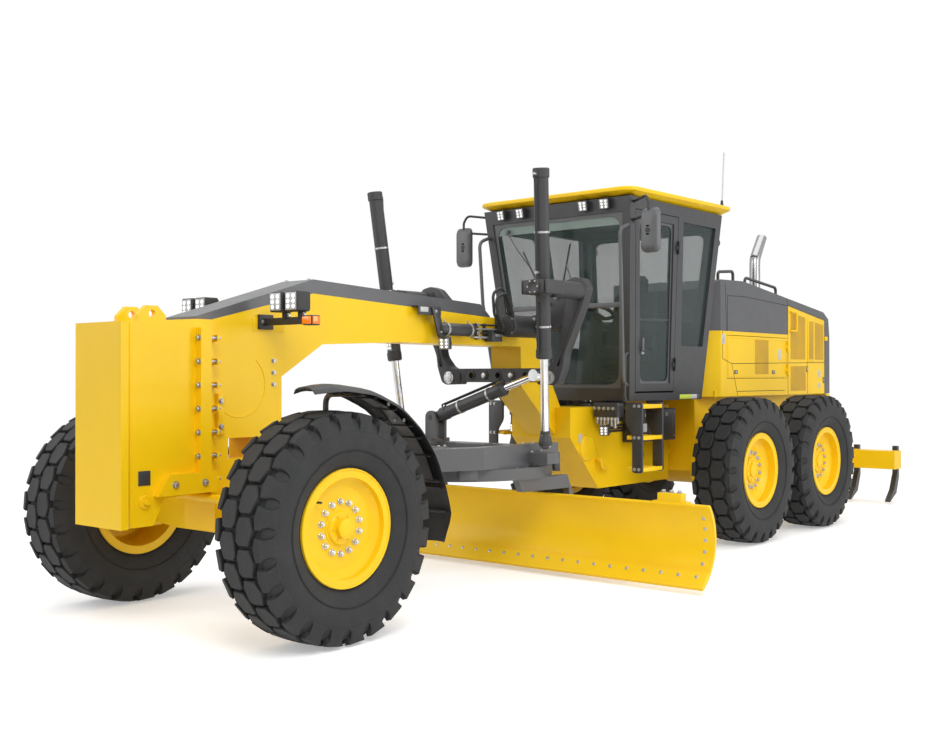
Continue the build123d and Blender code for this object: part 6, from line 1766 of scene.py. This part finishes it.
def make_stage():
    scene = bpy.context.scene
    sizes = scene.grader_sizes
    scene.view_settings.view_transform = 'Standard'
    world = bpy.data.worlds.new("studio_air")
    scene.world = world
    world.use_nodes = True
    tree = world.node_tree
    background = tree.nodes["Background"]
    strength = span(tree, background_rays(tree), 0.0, 1.0, sizes.air_light, 1.0)
    background.inputs["Color"].default_value = (1.0, 1.0, 1.0, 1.0)
    tree.links.new(strength, background.inputs["Strength"])

    floor = bpy.data.meshes.new("studio_floor")
    reach = 60.0
    floor.from_pydata([(-reach, -reach, 0), (reach, -reach, 0), (reach, reach, 0), (-reach, reach, 0)], [],
                      [(0, 1, 2, 3)])
    obj = bpy.data.objects.new("studio_floor", floor)
    obj.location.z = -0.002
    scene.collection.objects.link(obj)
    material = bpy.data.materials.new("grader_studio_floor")
    material.use_nodes = True
    tree = material.node_tree
    shader = tree.nodes["Principled BSDF"]
    grain = noise(tree, 30.0, 3.0)
    tree.links.new(blend_colours(tree, span(tree, grain, 0.3, 0.7, 0.0, 1.0), (0.90, 0.90, 0.90, 1.0),
                                 (0.93, 0.93, 0.93, 1.0)), shader.inputs["Base Color"])
    shader.inputs["Roughness"].default_value = 0.9
    shader.inputs["Specular IOR Level"].default_value = 0.1
    shader.inputs["Emission Color"].default_value = (1.0, 1.0, 1.0, 1.0)
    # Far from the machine the floor turns into the white background.
    coords = tree.nodes.new("ShaderNodeTexCoord")
    distance = tree.nodes.new("ShaderNodeVectorMath")
    distance.operation = 'LENGTH'
    tree.links.new(coords.outputs["Object"], distance.inputs[0])
    far = span(tree, distance.outputs["Value"], sizes.floor_near, sizes.floor_far, 0.0, 1.0)
    near_glow = 0.34
    glow = span(tree, far, 0.0, 1.0, near_glow, 1.0)
    tree.links.new(combine(tree, background_rays(tree), glow, 'MULTIPLY'), shader.inputs["Emission Strength"])
    near_colour = shader.inputs["Base Color"].links[0].from_socket
    tree.links.new(blend_colours(tree, far, near_colour, (0.0, 0.0, 0.0, 1.0)), shader.inputs["Base Color"])
    floor.materials.append(material)

    for name, place, aim, size, power in (
            ("key", (7.5, -8.5, 8.5), (0.4, -2.0, 1.0), 6.0, 640),
            ("fill", (-7.0, -9.5, 6.0), (0, -3.0, 1.2), 7.0, 300),
            ("top", (0.5, 0.5, 10.5), (0, 0, 1), 9.0, 430),
            ("side", (10.5, 3.0, 4.0), (0.5, 1.0, 1.2), 6.0, 340)):
        light = bpy.data.lights.new(name, 'AREA')
        light.size = size
        light.energy = power
        lamp_obj = bpy.data.objects.new(name, light)
        lamp_obj.location = place
        lamp_obj.rotation_euler = (Vector(aim) - Vector(place)).to_track_quat('-Z', 'Y').to_euler()
        scene.collection.objects.link(lamp_obj)

    camera = bpy.data.cameras.new("photo_camera")
    camera.lens = sizes.lens
    camera.sensor_width = 36.0
    camera.shift_x = -0.0305
    camera.shift_y = -0.002
    camera.clip_end = 200.0
    eye = bpy.data.objects.new("photo_camera", camera)
    eye.location = at(6232, -4696, 1617)
    eye.rotation_euler = (math.radians(90.33), math.radians(0.07), math.radians(39.5))
    scene.collection.objects.link(eye)
    scene.camera = eye


def finish_nodes():
    for node, name in NODE_FINISHES.items():
        paint_node(node, name, SOFT_EDGES.get(node, 0.0))
    for node, name in SIDE_FINISHES.items():
        for side, _ in SIDES:
            paint_node(f"{node}_{side}", name)


class GraderFinishes(bpy.types.PropertyGroup):
    """Colours of the grader's main finishes."""
    body_yellow: bpy.props.FloatVectorProperty(
        name="Body Yellow", description="Colour of the painted frame, hood and wheels", subtype='COLOR',
        size=3, min=0.0, max=1.0, default=(0.93, 0.585, 0.004))
    dark_grey: bpy.props.FloatVectorProperty(
        name="Dark Grey", description="Colour of the hood top, frame cover and blade group", subtype='COLOR',
        size=3, min=0.0, max=1.0, default=(0.095, 0.097, 0.102))
    black: bpy.props.FloatVectorProperty(
        name="Black", description="Colour of the cab frame and small brackets", subtype='COLOR',
        size=3, min=0.0, max=1.0, default=(0.032, 0.033, 0.036))
    tyre: bpy.props.FloatVectorProperty(
        name="Tyre", description="Colour of the tyres' rubber", subtype='COLOR',
        size=3, min=0.0, max=1.0, default=(0.012, 0.0125, 0.0135))


class GraderSizes(bpy.types.PropertyGroup):
    """Sizes and levels that a user may change."""
    lens: bpy.props.FloatProperty(
        name="Lens", description="Focal length of the photo camera", subtype='DISTANCE_CAMERA',
        unit='CAMERA', default=44.16, min=10.0, max=200.0)
    floor_near: bpy.props.FloatProperty(
        name="Floor Near", description="Where the floor starts to turn white", subtype='DISTANCE', default=6.5,
        min=1.0, max=50.0)
    floor_far: bpy.props.FloatProperty(
        name="Floor Far", description="Where the floor is all white", subtype='DISTANCE', default=12.0, min=2.0,
        max=60.0)
    air_light: bpy.props.FloatProperty(
        name="Air Light", description="Strength of the even light from all round", default=0.55, min=0.0,
        max=2.0)


class StageOperator(bpy.types.Operator):
    """Set the floor, the lamps, the air and the camera"""
    bl_idname = "grader.stage"
    bl_label = "Stage"

    def execute(self, context):
        make_stage()
        return {'FINISHED'}


class FinishOperator(bpy.types.Operator):
    """Give every frame node its finish"""
    bl_idname = "grader.finishes"
    bl_label = "Finishes"

    def execute(self, context):
        finish_nodes()
        return {'FINISHED'}


class TyreOperator(bpy.types.Operator):
    """Make the six treaded tyres"""
    bl_idname = "grader.tyres"
    bl_label = "Tyres"

    def execute(self, context):
        make_tyres()
        return {'FINISHED'}


class WheelOperator(bpy.types.Operator):
    """Make the wheel nuts, hub caps and rim lips"""
    bl_idname = "grader.wheel_fittings"
    bl_label = "Wheel Fittings"

    def execute(self, context):
        make_wheel_fittings()
        return {'FINISHED'}


class NoseOperator(bpy.types.Operator):
    """Make the push block's bolts and plates"""
    bl_idname = "grader.nose"
    bl_label = "Nose Fittings"

    def execute(self, context):
        make_nose_fittings()
        return {'FINISHED'}


class NoseLampOperator(bpy.types.Operator):
    """Make the head lamps and turn signals"""
    bl_idname = "grader.nose_lamps"
    bl_label = "Nose Lamps"

    def execute(self, context):
        make_nose_lamps()
        return {'FINISHED'}


class FenderOperator(bpy.types.Operator):
    """Make the front fenders"""
    bl_idname = "grader.fenders"
    bl_label = "Fenders"

    def execute(self, context):
        make_fenders()
        return {'FINISHED'}


class SaddleOperator(bpy.types.Operator):
    """Make the lift saddle and its pins"""
    bl_idname = "grader.saddle"
    bl_label = "Lift Saddle"

    def execute(self, context):
        make_saddle()
        make_saddle_fittings()
        return {'FINISHED'}


class LiftOperator(bpy.types.Operator):
    """Dress the lift and shift cylinders"""
    bl_idname = "grader.cylinders"
    bl_label = "Cylinders"

    def execute(self, context):
        make_lift_fittings()
        return {'FINISHED'}


class BeamOperator(bpy.types.Operator):
    """Make what hangs on the main beam"""
    bl_idname = "grader.beam"
    bl_label = "Beam Fittings"

    def execute(self, context):
        make_beam_fittings()
        return {'FINISHED'}


class DrawbarOperator(bpy.types.Operator):
    """Make the drawbar's and circle's fittings"""
    bl_idname = "grader.drawbar"
    bl_label = "Drawbar Fittings"

    def execute(self, context):
        make_drawbar_fittings()
        return {'FINISHED'}


class BladeOperator(bpy.types.Operator):
    """Make the blade's bolts and clamps"""
    bl_idname = "grader.blade"
    bl_label = "Blade Fittings"

    def execute(self, context):
        make_blade_fittings()
        return {'FINISHED'}


class CabOperator(bpy.types.Operator):
    """Make the cab's trim, lamps and wipers"""
    bl_idname = "grader.cab"
    bl_label = "Cab Fittings"

    def execute(self, context):
        make_cab_fittings()
        return {'FINISHED'}


class DoorOperator(bpy.types.Operator):
    """Make the cab doors' trim and handles"""
    bl_idname = "grader.doors"
    bl_label = "Door Fittings"

    def execute(self, context):
        make_door_fittings()
        return {'FINISHED'}


class MirrorOperator(bpy.types.Operator):
    """Make the mirrors on their tubes"""
    bl_idname = "grader.mirrors"
    bl_label = "Mirrors"

    def execute(self, context):
        make_mirrors()
        return {'FINISHED'}


class SeatOperator(bpy.types.Operator):
    """Make the padded seat"""
    bl_idname = "grader.seat"
    bl_label = "Seat"

    def execute(self, context):
        make_seat()
        return {'FINISHED'}


class RoofOperator(bpy.types.Operator):
    """Make the roof skin and the aerial"""
    bl_idname = "grader.roof"
    bl_label = "Roof"

    def execute(self, context):
        make_roof_fittings()
        return {'FINISHED'}


class HoodOperator(bpy.types.Operator):
    """Make the hood's seams, vents, handles and rear grille"""
    bl_idname = "grader.hood"
    bl_label = "Hood Fittings"

    def execute(self, context):
        make_hood_fittings()
        return {'FINISHED'}


class ServiceDoorOperator(bpy.types.Operator):
    """Make the hood doors' vents and latches"""
    bl_idname = "grader.service_doors"
    bl_label = "Hood Doors"

    def execute(self, context):
        make_service_doors()
        return {'FINISHED'}


class ExhaustOperator(bpy.types.Operator):
    """Make the exhaust stack"""
    bl_idname = "grader.exhaust"
    bl_label = "Exhaust"

    def execute(self, context):
        make_exhaust()
        return {'FINISHED'}


class LadderOperator(bpy.types.Operator):
    """Make the ladders with their grip treads"""
    bl_idname = "grader.ladders"
    bl_label = "Ladders"

    def execute(self, context):
        make_ladders()
        return {'FINISHED'}


class SideBoxOperator(bpy.types.Operator):
    """Make the side boxes"""
    bl_idname = "grader.side_boxes"
    bl_label = "Side Boxes"

    def execute(self, context):
        make_side_boxes()
        return {'FINISHED'}


class RipperOperator(bpy.types.Operator):
    """Make the ripper's pins and pockets"""
    bl_idname = "grader.ripper"
    bl_label = "Ripper Fittings"

    def execute(self, context):
        make_ripper_fittings()
        return {'FINISHED'}


class TandemOperator(bpy.types.Operator):
    """Make the tandem cases' bolts and covers"""
    bl_idname = "grader.tandem"
    bl_label = "Tandem Fittings"

    def execute(self, context):
        make_tandem_fittings()
        return {'FINISHED'}


OPERATORS = (StageOperator, FinishOperator, TyreOperator, WheelOperator, NoseOperator, NoseLampOperator,
             FenderOperator, SaddleOperator, LiftOperator, BeamOperator, DrawbarOperator, BladeOperator,
             CabOperator, DoorOperator, MirrorOperator, SeatOperator, RoofOperator, HoodOperator,
             ServiceDoorOperator, ExhaustOperator, LadderOperator, SideBoxOperator, RipperOperator,
             TandemOperator)


class GraderPanel(bpy.types.Panel):
    """The grader's steps in the sidebar"""
    bl_idname = "VIEW3D_PT_grader"
    bl_label = "Motor Grader"
    bl_space_type = 'VIEW_3D'
    bl_region_type = 'UI'
    bl_category = "Grader"

    def draw(self, context):
        layout = self.layout
        for group in (context.scene.grader_finishes, context.scene.grader_sizes):
            for name in group.bl_rna.properties.keys():
                if name not in ("rna_type", "name"):
                    layout.prop(group, name)
        for operator in OPERATORS:
            layout.operator(operator.bl_idname)


CLASSES = (GraderFinishes, GraderSizes, *OPERATORS, GraderPanel)


def register():
    for item in CLASSES:
        bpy.utils.register_class(item)
    bpy.types.Scene.grader_finishes = bpy.props.PointerProperty(type=GraderFinishes)
    bpy.types.Scene.grader_sizes = bpy.props.PointerProperty(type=GraderSizes)


def unregister():
    del bpy.types.Scene.grader_finishes
    del bpy.types.Scene.grader_sizes
    for item in reversed(CLASSES):
        bpy.utils.unregister_class(item)


def main():
    register()
    for operator in OPERATORS:
        group, name = operator.bl_idname.split(".")
        getattr(getattr(bpy.ops, group), name)()


if __name__ == "__main__":
    main()
